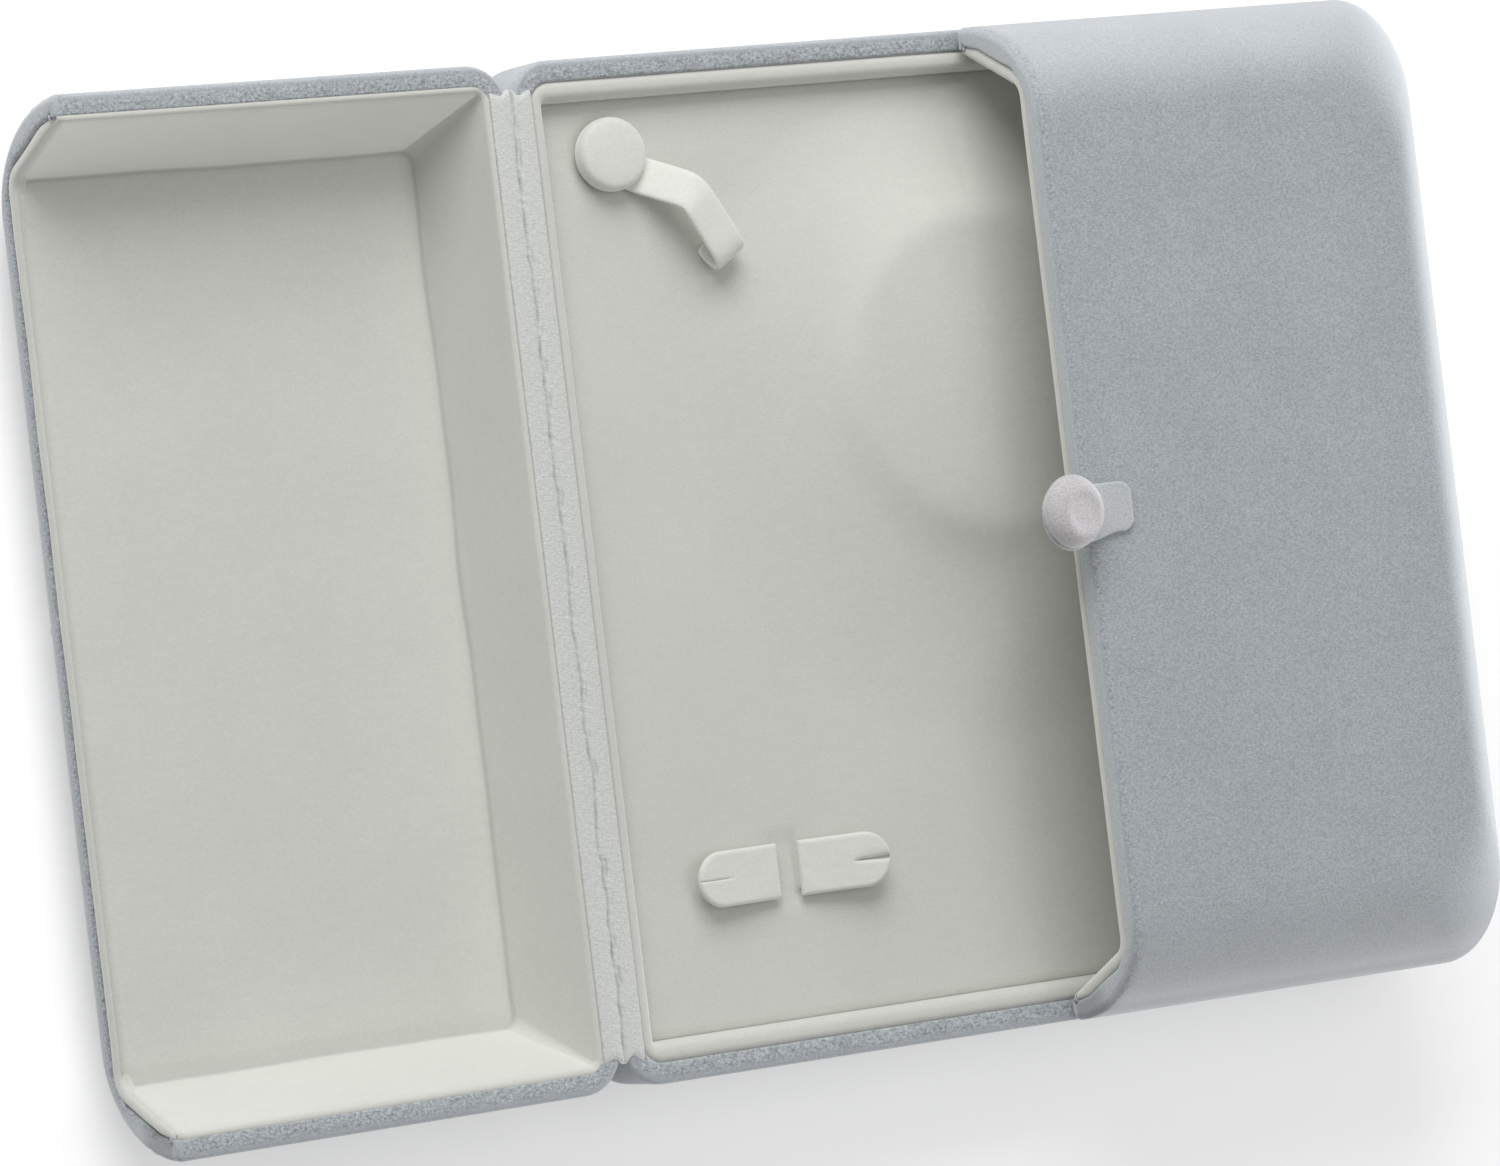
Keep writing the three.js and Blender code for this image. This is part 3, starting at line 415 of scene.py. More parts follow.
def loop_path(half_x, half_y, radius, side_steps, corner_steps):
    """Closed rounded rectangles, one per row: straight sides in equal steps and quarter circles."""
    turns = np.linspace(0, np.pi / 2, corner_steps)
    corners = []
    for quarter, (sx, sy) in enumerate(((1, -1), (1, 1), (-1, 1), (-1, -1))):
        angle = turns + (quarter - 1) * np.pi / 2
        x = column(sx * (half_x - radius)) + column(radius) * np.cos(angle)
        y = column(sy * (half_y - radius)) + column(radius) * np.sin(angle)
        corners.append(np.stack([x, y], axis=-1))
    parts = []
    share = np.linspace(0, 1, side_steps + 1)[1:-1][None, :, None]
    for corner, following in zip(corners, corners[1:] + corners[:1]):
        side = corner[:, -1:] * (1 - share) + following[:, :1] * share
        parts += [corner, side]
    return np.concatenate(parts, axis=1)


def rim_profile(shape):
    """Cover over a rim as (inset, depth under the rim): tucked edge, inner fold, strip, outer fold.

    The last two results are the shares of open pile, on the strip, and of painted sheen, on the
    outer fold.
    """
    strip, fold = shape.rim_strip, shape.rim_fold
    tuck = 0.5 * MM
    turn = np.linspace(0, np.pi / 2, 8)
    flat = np.linspace(0, 1, 10)[1:-1]
    tucked, across = strip - tuck + tuck * np.cos(turn), strip - tuck + (fold - strip + tuck) * flat
    inset = np.concatenate([np.full(3, strip), tucked, across, fold - fold * np.sin(turn)])
    hidden, swell = np.array([2.0, 1.4, 0.9]) * MM, -0.1 * MM * np.sin(np.pi * flat)
    depth = np.concatenate([hidden, tuck - tuck * np.sin(turn), swell, fold - fold * np.cos(turn)])
    pile = smooth_step((inset - 0.7 * MM) / (1.2 * MM))
    # Painted sheen on the outer fold.
    highlight = PAINTED_SHEEN * smooth_step((1.3 * MM - inset) / (0.9 * MM))
    return inset, depth, pile, highlight


def liner_gap(shape, section, level):
    """Distance from points of a door's section to its liner."""
    liner_level, liner_end, _, lip_rows, _ = liner_section(shape)
    line = np.stack([liner_end[lip_rows - 1 :], liner_level[lip_rows - 1 :]], axis=1)
    line = np.concatenate([line, [[BASE_HALF_Y, liner_level[-1]]]])
    line = spaced(line, np.linspace(0, arc_lengths(line)[-1], 500))
    apart = np.hypot(section[:, None] - line[None, :, 0], level[:, None] - line[None, :, 1])
    return apart.min(axis=1)


# Doors, in their own frame: x from the hinge axis, y along it, z over it


def left_place(points):
    """A door's own frame to the open left door: turned about the left hinge."""
    x, y, z = np.moveaxis(points, -1, 0)
    turned_x = x * np.cos(OPEN_ANGLE) - z * np.sin(OPEN_ANGLE)
    turned_z = x * np.sin(OPEN_ANGLE) + z * np.cos(OPEN_ANGLE)
    return np.stack([LEFT_HINGE[0] + turned_x, y, LEFT_HINGE[2] + turned_z], axis=-1)


def right_place(points):
    """A door's own frame to the closed right door: mirrored in x."""
    x, y, z = np.moveaxis(points, -1, 0)
    return np.stack([RIGHT_HINGE[0] - x, y, RIGHT_HINGE[2] + z], axis=-1)


def door_path(hinge, end, radius, edge):
    """Open plan paths, one per row: from the free edge along an end, round the corner, along the hinge."""
    y = BASE_HALF_Y - column(end)
    hinge, radius = column(hinge), column(radius)
    share = np.linspace(0, 1, END_STEPS)
    turn = np.linspace(0, np.pi / 2, CORNER_STEPS)[1:-1]
    middle = np.linspace(0, 1, HINGE_STEPS)
    side_x = edge + (hinge + radius - edge) * share
    corner_x = hinge + radius - radius * np.sin(turn)
    corner_y = -y + radius - radius * np.cos(turn)
    hinge_y = (-y + radius) * (1 - middle)
    x = np.concatenate([side_x, corner_x, hinge + 0 * hinge_y], axis=1)
    y = np.concatenate([-y + 0 * side_x, corner_y, hinge_y], axis=1)
    return mirrored(np.stack([x, y], axis=-1))


def to_spine(last, edge):
    """Rows from a door's last ring straight in to its middle line."""
    share = np.linspace(0, 1, SPINE_STEPS + 1)[1:][:, None]
    target_x = np.clip(last[:, 0], FREE_EDGE / 2, edge)
    x = last[:, 0] + (target_x - last[:, 0]) * share
    y = last[:, 1] * (1 - share)
    return np.stack([x, y], axis=-1)


def capped(body, back):
    """A door's grid with the strips that roll round both ends of its free edge."""
    mirror = back.copy()
    mirror[..., 1] *= -1
    return np.concatenate([back[:, ::-1], body, mirror], axis=1)


def door_edge(shape, seed, end, level, rim_inset, rim_depth):
    """Strip of a door's cover round its free edge, how far in its points lie, and its width.

    The door's section is carried to a line up to the liner's roll, and at the rim to one that
    joins the tucked edge to it.
    """
    rim_rows = len(rim_inset)
    fold, tuck = shape.edge_fold, 0.7 * MM
    edge = FREE_EDGE - fold
    across = np.linspace(1, 0, SPINE_STEPS + 1)[1:]
    section = np.concatenate([end, BASE_HALF_Y + (end[-1] - BASE_HALF_Y) * across])
    arc = np.cumsum(np.hypot(np.gradient(section), np.gradient(level)))
    grown = smooth_step((arc - arc[rim_rows]) / (6 * MM))
    thick = shape.liner_lip + (shape.liner_roll - shape.liner_lip) * grown
    band = np.clip(liner_gap(shape, section, level) - thick, shape.edge_band, 2 * shape.edge_band)
    band[:rim_rows] = shape.edge_band
    normal_inset, normal_level = normals_of(section, level)
    inner_inset = section - band * normal_inset
    inner_level = level - band * normal_level
    inner_inset[:rim_rows] = np.maximum(rim_inset, shape.edge_band)
    inner_level[:rim_rows] = np.maximum(rim_depth, 1.3 * MM)

    turn = np.linspace(0, np.pi / 2, 10)[1:]
    face = np.linspace(0, 1, 8)[1:-1]
    strip = np.array([1.2, 2.0, 3.0]) * MM
    inner_fold = FREE_EDGE - tuck * (1 - np.cos(turn))
    outer_fold = edge + fold * np.sin(turn)
    roll_x = np.concatenate([outer_fold, FREE_EDGE + 0 * face, inner_fold, FREE_EDGE - tuck - strip])
    wide = column(band)
    first, last = fold * (1 - np.cos(turn)) + 0 * wide, wide - tuck + tuck * np.sin(turn)
    roll_in = np.concatenate([first, fold + (wide - tuck - fold) * face, last, wide + 0 * strip], axis=1)
    crumple = 0.06 * column(ripple(arc, 3.5 * MM, seed)) * bell(roll_in - 0.5 * MM, 0.6 * MM)
    share = roll_in / wide + 0.35 * crumple
    back_y = column(section) + column(inner_inset - section) * share - BASE_HALF_Y
    back_z = column(level) + column(inner_level - level) * share
    back = np.stack([roll_x + 0.5 * MM * crumple, back_y, back_z], axis=-1)
    back[-1, :, 1] = 0
    return back, roll_in, wide


def door_cover(shape, seed, open_inside):
    """Cover of a door, where its pile opens, and where its colour carries painted highlight and shade.

    Each row is a ring: the rim strip, then a quarter ellipse from the rim to the crown, with
    inset = reach * (1 - cos a) and height = depth * sin a, then straight lines to the middle.
    At the free edge each row goes on round a fold, across the edge as far as the liner's roll,
    and a little way into the door. The pile opens along the side of the edge that lies upwards
    in the open or the closed door.
    """
    depth = DOOR_TOP - DOOR_RIM
    rim_inset, rim_depth, rim_pile, rim_highlight = rim_profile(shape)
    rim_rows = len(rim_inset)
    angle = np.linspace(np.arcsin(shape.rim_fold / depth), np.pi / 2, 34)[1:]
    rolled = 1 - np.cos(angle)
    end = np.concatenate([rim_inset, shape.end_roll * rolled])
    hinge = HINGE_CLEARANCE + np.concatenate([rim_inset, shape.hinge_roll * rolled])
    height = np.concatenate([rim_depth, depth * np.sin(angle)])
    inset_corner = np.concatenate([rim_inset, 0 * rolled])
    corner = np.maximum(CORNER_RADIUS - inset_corner, SMALL_CORNER) + CROWN_CORNER * height / depth
    edge = FREE_EDGE - shape.edge_fold
    rings = door_path(hinge, end, corner, edge)
    level = np.concatenate([height, np.full(SPINE_STEPS, depth)])
    body = levelled(np.concatenate([rings, to_spine(rings[-1], edge)]), level)

    back, roll_in, wide = door_edge(shape, seed, end, level, rim_inset, rim_depth)
    count = roll_in.shape[1]
    grid = capped(body, back)
    grid[..., 2] += DOOR_RIM

    opened, highlight = np.zeros(grid.shape[:2]), np.zeros(grid.shape[:2])
    opened[:rim_rows] = rim_pile[:, None]
    highlight[:rim_rows] = rim_highlight[:, None]
    # Painted sheen on the roll just over the rim, fading up the roll.
    below = PAINTED_SHEEN - PAINTED_SHEEN * smooth_step(height[rim_rows:] / (5 * MM))
    highlight[rim_rows : rim_rows + len(below)] = below[:, None]
    # A painted highlight lies along the shoulder over the hinge and a little on the rolls at the ends,
    # and painted shade, over open pile, at the foot of the roll at the lower end. facing goes from -1 at
    # the lower end over 0 at the hinge to 1 at the upper end.
    round_corner = -np.cos(np.linspace(0, np.pi / 2, CORNER_STEPS)[1:-1])
    facing = np.concatenate([np.full(count + END_STEPS, -1.0), round_corner, np.zeros(HINGE_STEPS)])
    facing = np.concatenate([facing, -facing[-2::-1]])
    slope = column(1 - rolled)
    rolls = slice(rim_rows, rim_rows + len(rolled))
    shoulder = smooth_step(2.2 * slope) * (1 - 0.65 * smooth_step((slope - 0.6) / 0.3))
    at_end = np.abs(facing)
    painted_light = at_end * 0.36 * smooth_step(1.6 * slope) + (1 - at_end) * shoulder
    highlight[rolls] = np.maximum(highlight[rolls], painted_light)
    foot = smooth_step((slope - 0.82) / 0.12) * smooth_step(-facing)
    opened[rolls] = np.maximum(opened[rolls], 0.5 * foot)
    against = np.zeros(grid.shape[:2])
    against[rolls] = foot
    # At the free edge: open pile, and a painted sheen beside it.
    if open_inside:
        edge_pile = smooth_step((roll_in - wide + 2.2 * MM) / (1.2 * MM))
        edge_highlight = PAINTED_SHEEN - PAINTED_SHEEN * edge_pile
    else:
        edge_pile = 0.7 * bell(roll_in - 0.1 * MM, 0.3 * MM)
        edge_highlight = PAINTED_SHEEN * smooth_step((roll_in - 0.35 * MM) / (0.5 * MM))
    for cap, order in ((slice(count), -1), (slice(-count, None), 1)):
        opened[:, cap] = np.maximum(opened[:, cap] * 0.2, edge_pile[:, ::order])
        highlight[:, cap] = np.maximum(highlight[:, cap], edge_highlight[:, ::order])
    from_edge = np.clip((edge - body[..., 0]) / (1.3 * MM), 0, 1)
    opened[:, count:-count] = np.maximum(opened[:, count:-count], 0.7 * (1 - from_edge) ** 2)
    return grid, opened, highlight, against


def liner_section(shape):
    """Rows of a door's liner: depth, inset from the ends and inset from the hinge.

    A half round at the rim, a straight leaning wall, and a tight knee into a floor whose edge
    lies a little deeper than its middle.
    """
    lip, depth = shape.liner_lip, shape.liner_depth
    drop, start, half = 0.1 * MM, LINER_LIP_START, shape.liner_lip / 2
    turn = np.linspace(0, np.pi, 13)
    lip_inset = np.concatenate([np.full(3, start), start + half - half * np.cos(turn)])
    lip_depth = np.concatenate([np.array([3.5, 2.6, 1.8]) * MM, drop + half - half * np.sin(turn)])
    wall_top, knee, sunk = drop + half, 1.1 * MM, 0.3 * MM
    share = np.linspace(0, 1, 22)[1:-1]
    bend = np.linspace(0, 1, 9)
    swell = np.linspace(0, 1, 7)[1:]
    wall_end = depth + sunk - knee
    wall_depth = wall_top + (wall_end - wall_top) * share
    bend_depth = (1 - bend) ** 2 * wall_end + (1 - (1 - bend) ** 2) * (depth + sunk)
    level = np.concatenate([lip_depth, wall_depth, bend_depth, depth + sunk * (1 - smooth_step(swell))])

    def insets(floor_inset):
        """Inset of every row where the wall meets the floor at floor_inset."""
        lean = (floor_inset - start - lip) / (depth - wall_top)
        wall = start + lip + lean * (wall_depth - wall_top)
        first = start + lip + lean * (wall_end - wall_top)
        last = floor_inset + 0.6 * knee
        curve = (1 - bend) ** 2 * first + 2 * bend * (1 - bend) * floor_inset + bend**2 * last
        return np.concatenate([lip_inset, wall, curve, last + 3.2 * MM * swell])

    end = insets(shape.liner_end)
    hinge = HINGE_CLEARANCE + insets(shape.liner_hinge - HINGE_CLEARANCE)
    knee_rows = slice(len(lip_inset) + len(share), len(end))
    return level, end, hinge, len(lip_inset), knee_rows


def door_liner(shape, seed):
    """Liner of a door, with painted shade in its creases and a painted highlight on its end walls.

    The section's rows are carried round an end, a corner and the hinge side. Painted shade darkens
    the knee, and a little the hinge's wall towards the upper end, and a painted highlight lightens the
    walls at the ends.
    """
    level, end, hinge, lip_rows, knee_rows = liner_section(shape)
    down = smooth_step(level / shape.liner_depth)
    corner = (0.7 + 1.7 * down) * MM
    corner[:lip_rows] = 1.6 * MM
    edge = FREE_EDGE - 0.8 * MM
    rings = door_path(hinge, end, corner, edge)
    level = np.concatenate([level, np.full(SPINE_STEPS, shape.liner_depth)])
    grid = levelled(np.concatenate([rings, to_spine(rings[-1], edge)]), level)

    # The glued cloth is a little uneven along the knee.
    x, y = grid[..., 0].copy(), grid[..., 1].copy()
    grid[knee_rows, :, 0] += (0.3 * MM * ripple(y, 46 * MM, seed))[knee_rows]
    grid[knee_rows, :, 1] += (0.2 * MM * ripple(x, 52 * MM, seed + 1) * np.sign(y))[knee_rows]
    uneven = 0.1 * MM * ripple(y + 0.3 * x, 40 * MM, seed + 2) * smooth_step((edge - x) / (14 * MM))
    rows = np.arange(len(grid))[:, None]
    grid[..., 2] += uneven * (rows > lip_rows) + DOOR_RIM

    # Painted shade along the knee.
    crease = bell(rows - knee_rows.start - 4.5, 3.2)
    on_wall = smooth_step((rows - lip_rows + 3) / 4) * smooth_step((knee_rows.start + 3 - rows) / 3)
    at_end = np.zeros(grid.shape[1])
    at_end[:END_STEPS], at_end[-END_STEPS:] = 0.32, 1
    # Painted shade on the hinge's wall, darker towards the upper end.
    painted_light = (0.2 + 0.2 * y / BASE_HALF_Y) * on_wall * (at_end == 0)
    # Painted highlight on the end walls, strongest on the upper end's wall.
    return grid, np.maximum(crease, painted_light), on_wall * at_end


def liner_roll(shape, seed):
    """Roll of the liner along a door's free edge: a bar along the lined section, with rounded ends."""
    level, end, _, lip_rows, _ = liner_section(shape)
    half_lip = shape.liner_lip / 2
    start = lip_rows - 1
    side = np.stack([-(BASE_HALF_Y - end[start:]), level[start:]], axis=1)
    side = np.concatenate([[[side[0, 0], level[start] - 0.3 * MM]], side, [[0.0, level[-1]]]])
    line = np.concatenate([side, side[-2::-1] * np.array([-1, 1])])
    total = arc_lengths(line)[-1]
    tip_steps = 8
    places = tipped(total, 1.2 * MM, tip_steps, power=1.5, count=230)
    line = spaced(line, places)
    # A few rounds of averaging soften the section's corners.
    for _ in range(6):
        line[1:-1] = (line[:-2] + 2 * line[1:-1] + line[2:]) / 4
    along = unit(np.gradient(line, axis=0))
    outward = np.stack([0 * places, -along[:, 1], along[:, 0]], axis=1)
    grown = smooth_step(np.minimum(places, total - places) / (6 * MM))
    half = half_lip + (shape.liner_roll / 2 - half_lip) * grown
    half = half * (1 + 0.06 * ripple(places, 21 * MM, seed))
    closing = rounded_ends(tip_steps + 1, len(places))
    half_reach = 1.45 * MM
    reach = half_reach * (0.8 + 0.2 * grown) * closing
    centre_x = FREE_EDGE - 0.15 * MM - half_reach
    centres = np.stack([centre_x + 0 * places, *line.T], axis=1) + outward * column(half + 0.05 * MM)
    ahead = np.broadcast_to(np.array([1.0, 0, 0]), centres.shape)
    squareness = {"square_width": 0.75, "square_depth": 0.75}
    bar = soft_bar(centres, ahead, outward, reach, half * closing, **squareness, steps=28)
    bar[..., 2] += DOOR_RIM
    return bar


def build_doors(shape, finish):
    """Covers, linings and edge rolls of both doors."""
    velvet = velvet_material("grey_velvet", finish.grey_velvet, finish.speckle)
    suede = suede_material("cream_suede", finish.cream_suede, finish.nap)
    inside = np.array([FREE_EDGE * 0.6, 0.0, DOOR_RIM + 6 * MM])
    opening = np.array([FREE_EDGE * 0.6, 0.0, DOOR_RIM - 30 * MM])
    for side, place, seed in (("left", left_place, 11), ("right", right_place, 23)):
        body = side + "_door"
        grid, opened, highlight, against = door_cover(shape, seed, side == "left")
        # The cover's shares: open pile, painted highlight and painted shade.
        piles = {"fold": opened, "brushed": highlight, "against": against}
        grids = [(place(grid), False, False)]
        cover = piece(body + "_cover", grids, velvet, faces_from=place(inside), **piles)
        thicken(cover, COVER_CLOTH)
        fasten(cover, body, "grey_velvet", body + "_velvet")
        grid, liner_shade, highlight = door_liner(shape, seed + 4)
        grids = [(place(grid), False, False)]
        # The lining's shares: painted shade, and a painted highlight on its end walls.
        piles = {"fold": liner_shade, "brushed": highlight}
        lining = piece(body + "_lining", grids, suede, faces_to=place(opening), **piles)
        thicken(lining, LINING_CLOTH)
        fasten(lining, body, "cream_suede", body + "_suede", body + "_liner")
        roll = piece(body + "_edge_roll", [(place(liner_roll(shape, seed + 9)), False, True)], suede)
        fasten(roll, body, "cream_suede")


# Base tray


def build_tray(shape, finish):
    """Cover of the base and the collar inside it.

    The cover's section is a quarter ellipse under the base, a straight side and the rim's strip.
    The collar's lip is a flattened round, height = 1 - |2 s - 1| ** 2.6 across its width, over a
    straight wall.
    """
    velvet = velvet_material("grey_velvet", finish.grey_velvet, finish.speckle)
    suede = suede_material("cream_suede", finish.cream_suede, finish.nap)
    rim_inset, rim_depth, rim_pile, rim_highlight = rim_profile(shape)
    angle = np.linspace(np.pi / 2, 0, 20)
    side = np.linspace(BASE_FOOT + BASE_ROLL_HEIGHT, BASE_RIM - shape.rim_fold, 8)[1:-1]
    inset = np.concatenate([BASE_ROLL * (1 - np.cos(angle)), 0 * side, rim_inset[::-1]])
    foot = BASE_FOOT + BASE_ROLL_HEIGHT * (1 - np.sin(angle))
    height = np.concatenate([foot, side, BASE_RIM - rim_depth[::-1]])
    pile = np.concatenate([np.zeros(len(angle) + len(side)), rim_pile[::-1]])
    # Painted sheen growing up the side to the rim, and on the rim's outer fold.
    highlight = np.concatenate([0 * angle, np.linspace(0, PAINTED_SHEEN, len(side)), rim_highlight[::-1]])
    at_rim = height > BASE_FOOT + BASE_ROLL_HEIGHT
    radius = np.maximum(CORNER_RADIUS - np.where(at_rim, inset, 0), SMALL_CORNER)
    grid = levelled(loop_path(BASE_HALF_X - inset, BASE_HALF_Y - inset, radius, SIDE_STEPS, 16), height)
    piles = {"fold": pile, "brushed": highlight}
    piles = {name: np.broadcast_to(column(share), grid.shape[:2]) for name, share in piles.items()}
    cover = piece("base_cover", [(grid, False, True)], velvet, faces_from=(0, 0, BASE_RIM / 2), **piles)
    thicken(cover, COVER_CLOTH)
    fasten(cover, "base", "grey_velvet", "base_velvet")

    rise, lip = 1.35 * MM, np.linspace(0, 1, 22)
    hidden, wall = np.array([3.0, 2.0, 1.0]), np.array([0.7, 1.4, 2.2, 3.2, 4.6, 6.5])
    share = np.concatenate([0 * hidden, lip, 0 * wall + 1])
    crown = rise * (1 - np.abs(2 * share - 1) ** 2.6)
    fall = np.concatenate([hidden, 0 * lip, wall]) * MM
    height = BASE_RIM - rise - 0.02 * MM + crown - fall
    lean = np.concatenate([0 * hidden, 0 * lip, 0.04 * wall]) * MM
    start = LIP_START - 0.45 * MM
    end = start + (shape.collar_end + 0.3 * MM) * share + lean
    along = start + (shape.collar_side + 0.3 * MM) * share + lean
    radius = np.maximum(CORNER_RADIUS - end, SMALL_CORNER)
    radius = np.where(share > 0.9, 0.9 * MM, radius)
    grid = levelled(loop_path(BASE_HALF_X - along, BASE_HALF_Y - end, radius, SIDE_STEPS, 10), height)
    sway = ripple(grid[..., 0] + grid[..., 1], 22 * MM, 5)
    grid[..., 2] += 0.06 * MM * sway * (share > 0)[:, None]
    collar = piece("base_collar_cloth", [(grid, False, True)], suede, faces_from=(0, 0, -1.0))
    thicken(collar, LINING_CLOTH)
    fasten(collar, "base", "cream_suede", "base_collar")


# Padded panel


def panel_lines(half, edge, extra):
    """Grid lines from -half to half: fine over the rounded edges and round the extra places."""
    turn = np.linspace(0, np.pi / 2, 10)
    border = half - edge * (1 - np.sin(turn))
    inner = np.linspace(-(half - edge), half - edge, 176)
    lines = np.concatenate([-border, inner, border, extra])
    lines = np.unique(np.round(lines, 7))
    keep = np.concatenate([[True], np.diff(lines) > 0.12 * MM])
    return lines[keep]


def bust_rise(shape, x, y):
    """Height of the bust, which stands at the panel's upper end: a low dome, and a flank round it.

    Over the flank the height is height * s ** 1.6. Its width grows from the side that faces the
    upper end to the one that faces the lower end. A short step runs along the plateau's lower left.
    The turn at the plateau is softened by soft * log(1 + exp(past / soft)).
    """
    margin = 7 * MM
    y = y - (PANEL_HALF_Y - margin - shape.bust_plateau - shape.bust_flank)
    radius = np.hypot(x, y)
    lower = (1 - y / np.maximum(radius, 0.1 * MM)) / 2
    flank = shape.bust_flank + (shape.bust_run - shape.bust_flank) * lower**0.3
    soft = 0.9 * MM
    past = soft * np.logaddexp(0, (radius - shape.bust_plateau) / soft)
    step = 0.2 * np.clip(-(0.8 * x + 0.6 * y) / np.maximum(radius, 0.1 * MM), 0, 1)
    rise = (1 - step) * np.clip(1 - past / flank, 0, 1) ** 1.6
    rise = rise + step * np.clip(1 - past / (9 * MM), 0, 1) ** 2
    dome = np.maximum(0, 1 - (radius / shape.bust_plateau) ** 2)
    return shape.bust_height * rise + shape.bust_dome * dome


def panel_height(shape, x, y):
    """Height of the panel's cloth: the flat, the bust, and the hollows at the tabs and the hooks."""
    rise = bust_rise(shape, x, y)
    for root in TAB_ROOTS:
        within = smooth_step((8.5 * MM - np.abs(y - TAB_Y)) / (4 * MM))
        rise = rise - 0.3 * MM * bell(x - root, 0.6 * MM) * within
        rise = rise - 0.35 * MM * bell(x - root, 3.2 * MM) * within
    button = np.hypot(np.abs(x) + HOOK_X, y - HOOK_Y)
    rise = rise - 0.4 * MM * smooth_step((10 * MM - button) / (5 * MM))
    return panel_level(shape) + rise


def build_panel(shape, finish):
    """The padded panel: one sheet of cloth over foam and the bust.

    Its edge falls as a quarter ellipse, and its corners come from mapping a square to a quarter
    disc: u * sqrt(1 - v * v / 2), v * sqrt(1 - u * u / 2). A painted highlight lies where the bust
    falls towards the upper end, on the slope that faces the upper lamp.
    """
    overlap = 0.35 * MM
    half_x, half_y = PANEL_HALF_X + overlap, PANEL_HALF_Y + overlap
    near_tabs = np.concatenate([root + np.linspace(-2.4, 2.4, 15) * MM for root in TAB_ROOTS])
    lines_x = panel_lines(half_x, shape.pad_round, near_tabs)
    lines_y = panel_lines(half_y, shape.pad_round, TAB_Y + np.linspace(-9, 9, 25) * MM)
    x, y = np.meshgrid(lines_x, lines_y, indexing="ij")
    from_edge = np.minimum(half_x - np.abs(x), half_y - np.abs(y))
    part = np.clip(1 - from_edge / shape.pad_round, 0, 1)
    fall = shape.pad_fall * (1 - quarter_round(1 - part))
    z = panel_height(shape, x, y) - fall
    z = z + 0.05 * MM * ripple(x + 0.4 * y, 60 * MM, 51) + 0.05 * MM * ripple(y - 0.3 * x, 55 * MM, 52)
    # Painted highlight on the bust's slopes that fall towards the upper end, facing the upper lamp.
    brushed = np.clip(-np.gradient(bust_rise(shape, x, y), lines_y, axis=1), 0, 0.4) * (part == 0)
    u = np.clip((np.abs(x) - half_x + PANEL_CORNER) / PANEL_CORNER, 0, 1)
    v = np.clip((np.abs(y) - half_y + PANEL_CORNER) / PANEL_CORNER, 0, 1)
    corner = 0.4 * PANEL_CORNER
    x = x + np.sign(x) * corner * (u * np.sqrt(1 - v * v / 2) - u)
    y = y + np.sign(y) * corner * (v * np.sqrt(1 - u * u / 2) - v)
    top = np.stack([x, y, z], axis=-1)
    outline = np.concatenate([top[:-1, 0], top[-1, :-1], top[:0:-1, -1], top[0, :0:-1]])
    skirt = np.stack([outline, outline - np.array([0, 0, 1.2 * MM])])
    suede = suede_material("cream_suede", finish.cream_suede, finish.nap)
    brushed = np.concatenate([brushed.ravel(), np.zeros(2 * len(outline))])
    grids = [(top, False, False), (skirt, False, True)]
    pad = piece("panel_pad", grids, suede, faces_from=(0, 0, -0.5), brushed=brushed)
    thicken(pad, COVER_CLOTH)
    fasten(pad, "base", "cream_suede", "panel_cover")


# Hooks, tabs, hinges and clasp


def turned(profile, steps=72):
    """A surface of revolution about +Z from radius and height pairs."""
    radius, height = profile.T
    angle = np.linspace(0, 2 * np.pi, steps, endpoint=False)
    return levelled(radius[:, None, None] * np.stack([np.cos(angle), np.sin(angle)], axis=-1), height)


def smooth_profile(corners, steps):
    """A smooth profile through corner points: cubic pieces with the slope of their neighbours."""
    before = np.concatenate([corners[:1], corners[:-1]])
    after = np.concatenate([corners[1:], corners[-1:]])
    slope = (after - before) / 2
    t = np.linspace(0, 1, steps, endpoint=False)[:, None, None]
    first, last = corners[:-1], corners[1:]
    curve = (
        (2 * t**3 - 3 * t**2 + 1) * first
        + (t**3 - 2 * t**2 + t) * slope[:-1]
        + (3 * t**2 - 2 * t**3) * last
        + (t**3 - t**2) * slope[1:]
    )
    return np.concatenate([curve.transpose(1, 0, 2).reshape(-1, corners.shape[1]), corners[-1:]])


def build_hooks(shape, finish):
    """Two mirrored hooks: a covered button and a strap that ends in a hook.

    The button is a turned profile, flat on top with a full shoulder. The strap carries a rounded
    bar along a smooth line through its stations.
    """
    suede = suede_material("trim_suede", finish.trim_suede, finish.nap)
    # The straps take a paler copy of the trim suede, a painted highlight for the light on the raised
    # straps.
    lit_strap_suede = suede_material("strap_suede", finish.strap_suede, finish.nap)
    rows = turned(smooth_profile(HOOK_BUTTON, 6) * MM)
    stations = smooth_profile(STRAP_SHARES, 24)
    line = stations[:, :3] * STRAP_REACH
    line[:, 2] += 0.3 * MM + shape.strap_thickness / 2
    tip_steps = 7
    places = tipped(arc_lengths(line)[-1], 1.8 * MM, tip_steps, power=1.6, count=96)
    turn = np.radians(np.interp(places, arc_lengths(line), stations[:, 3]))
    line = spaced(line, places)
    across = np.stack([-np.sin(turn), np.cos(turn), 0 * turn], axis=1)
    up = unit(np.cross(unit(np.gradient(line, axis=0)), across))
    closing = rounded_ends(tip_steps + 1, len(places))
    half_width = shape.strap_width / 2 * (0.62 + 0.38 * closing) * (closing > 0)
    half_depth = shape.strap_thickness / 2 * np.minimum(1, closing * 1.6)
    bar = soft_bar(line, across, up, half_width, half_depth)
    for side, sign in (("left", 1), ("right", -1)):
        name = "hook_" + side
        place = np.array([sign * HOOK_X, HOOK_Y, panel_level(shape)])
        mirror = np.array([sign, 1, 1])
        button = piece(name + "_covered_button", [(rows * mirror + place, False, True)], suede)
        fasten(button, "base", "cream_suede", name + "_button")
        strap = piece(name + "_soft_strap", [(bar * mirror + place, False, True)], lit_strap_suede)
        fasten(strap, "base", "cream_suede", name + "_strap")


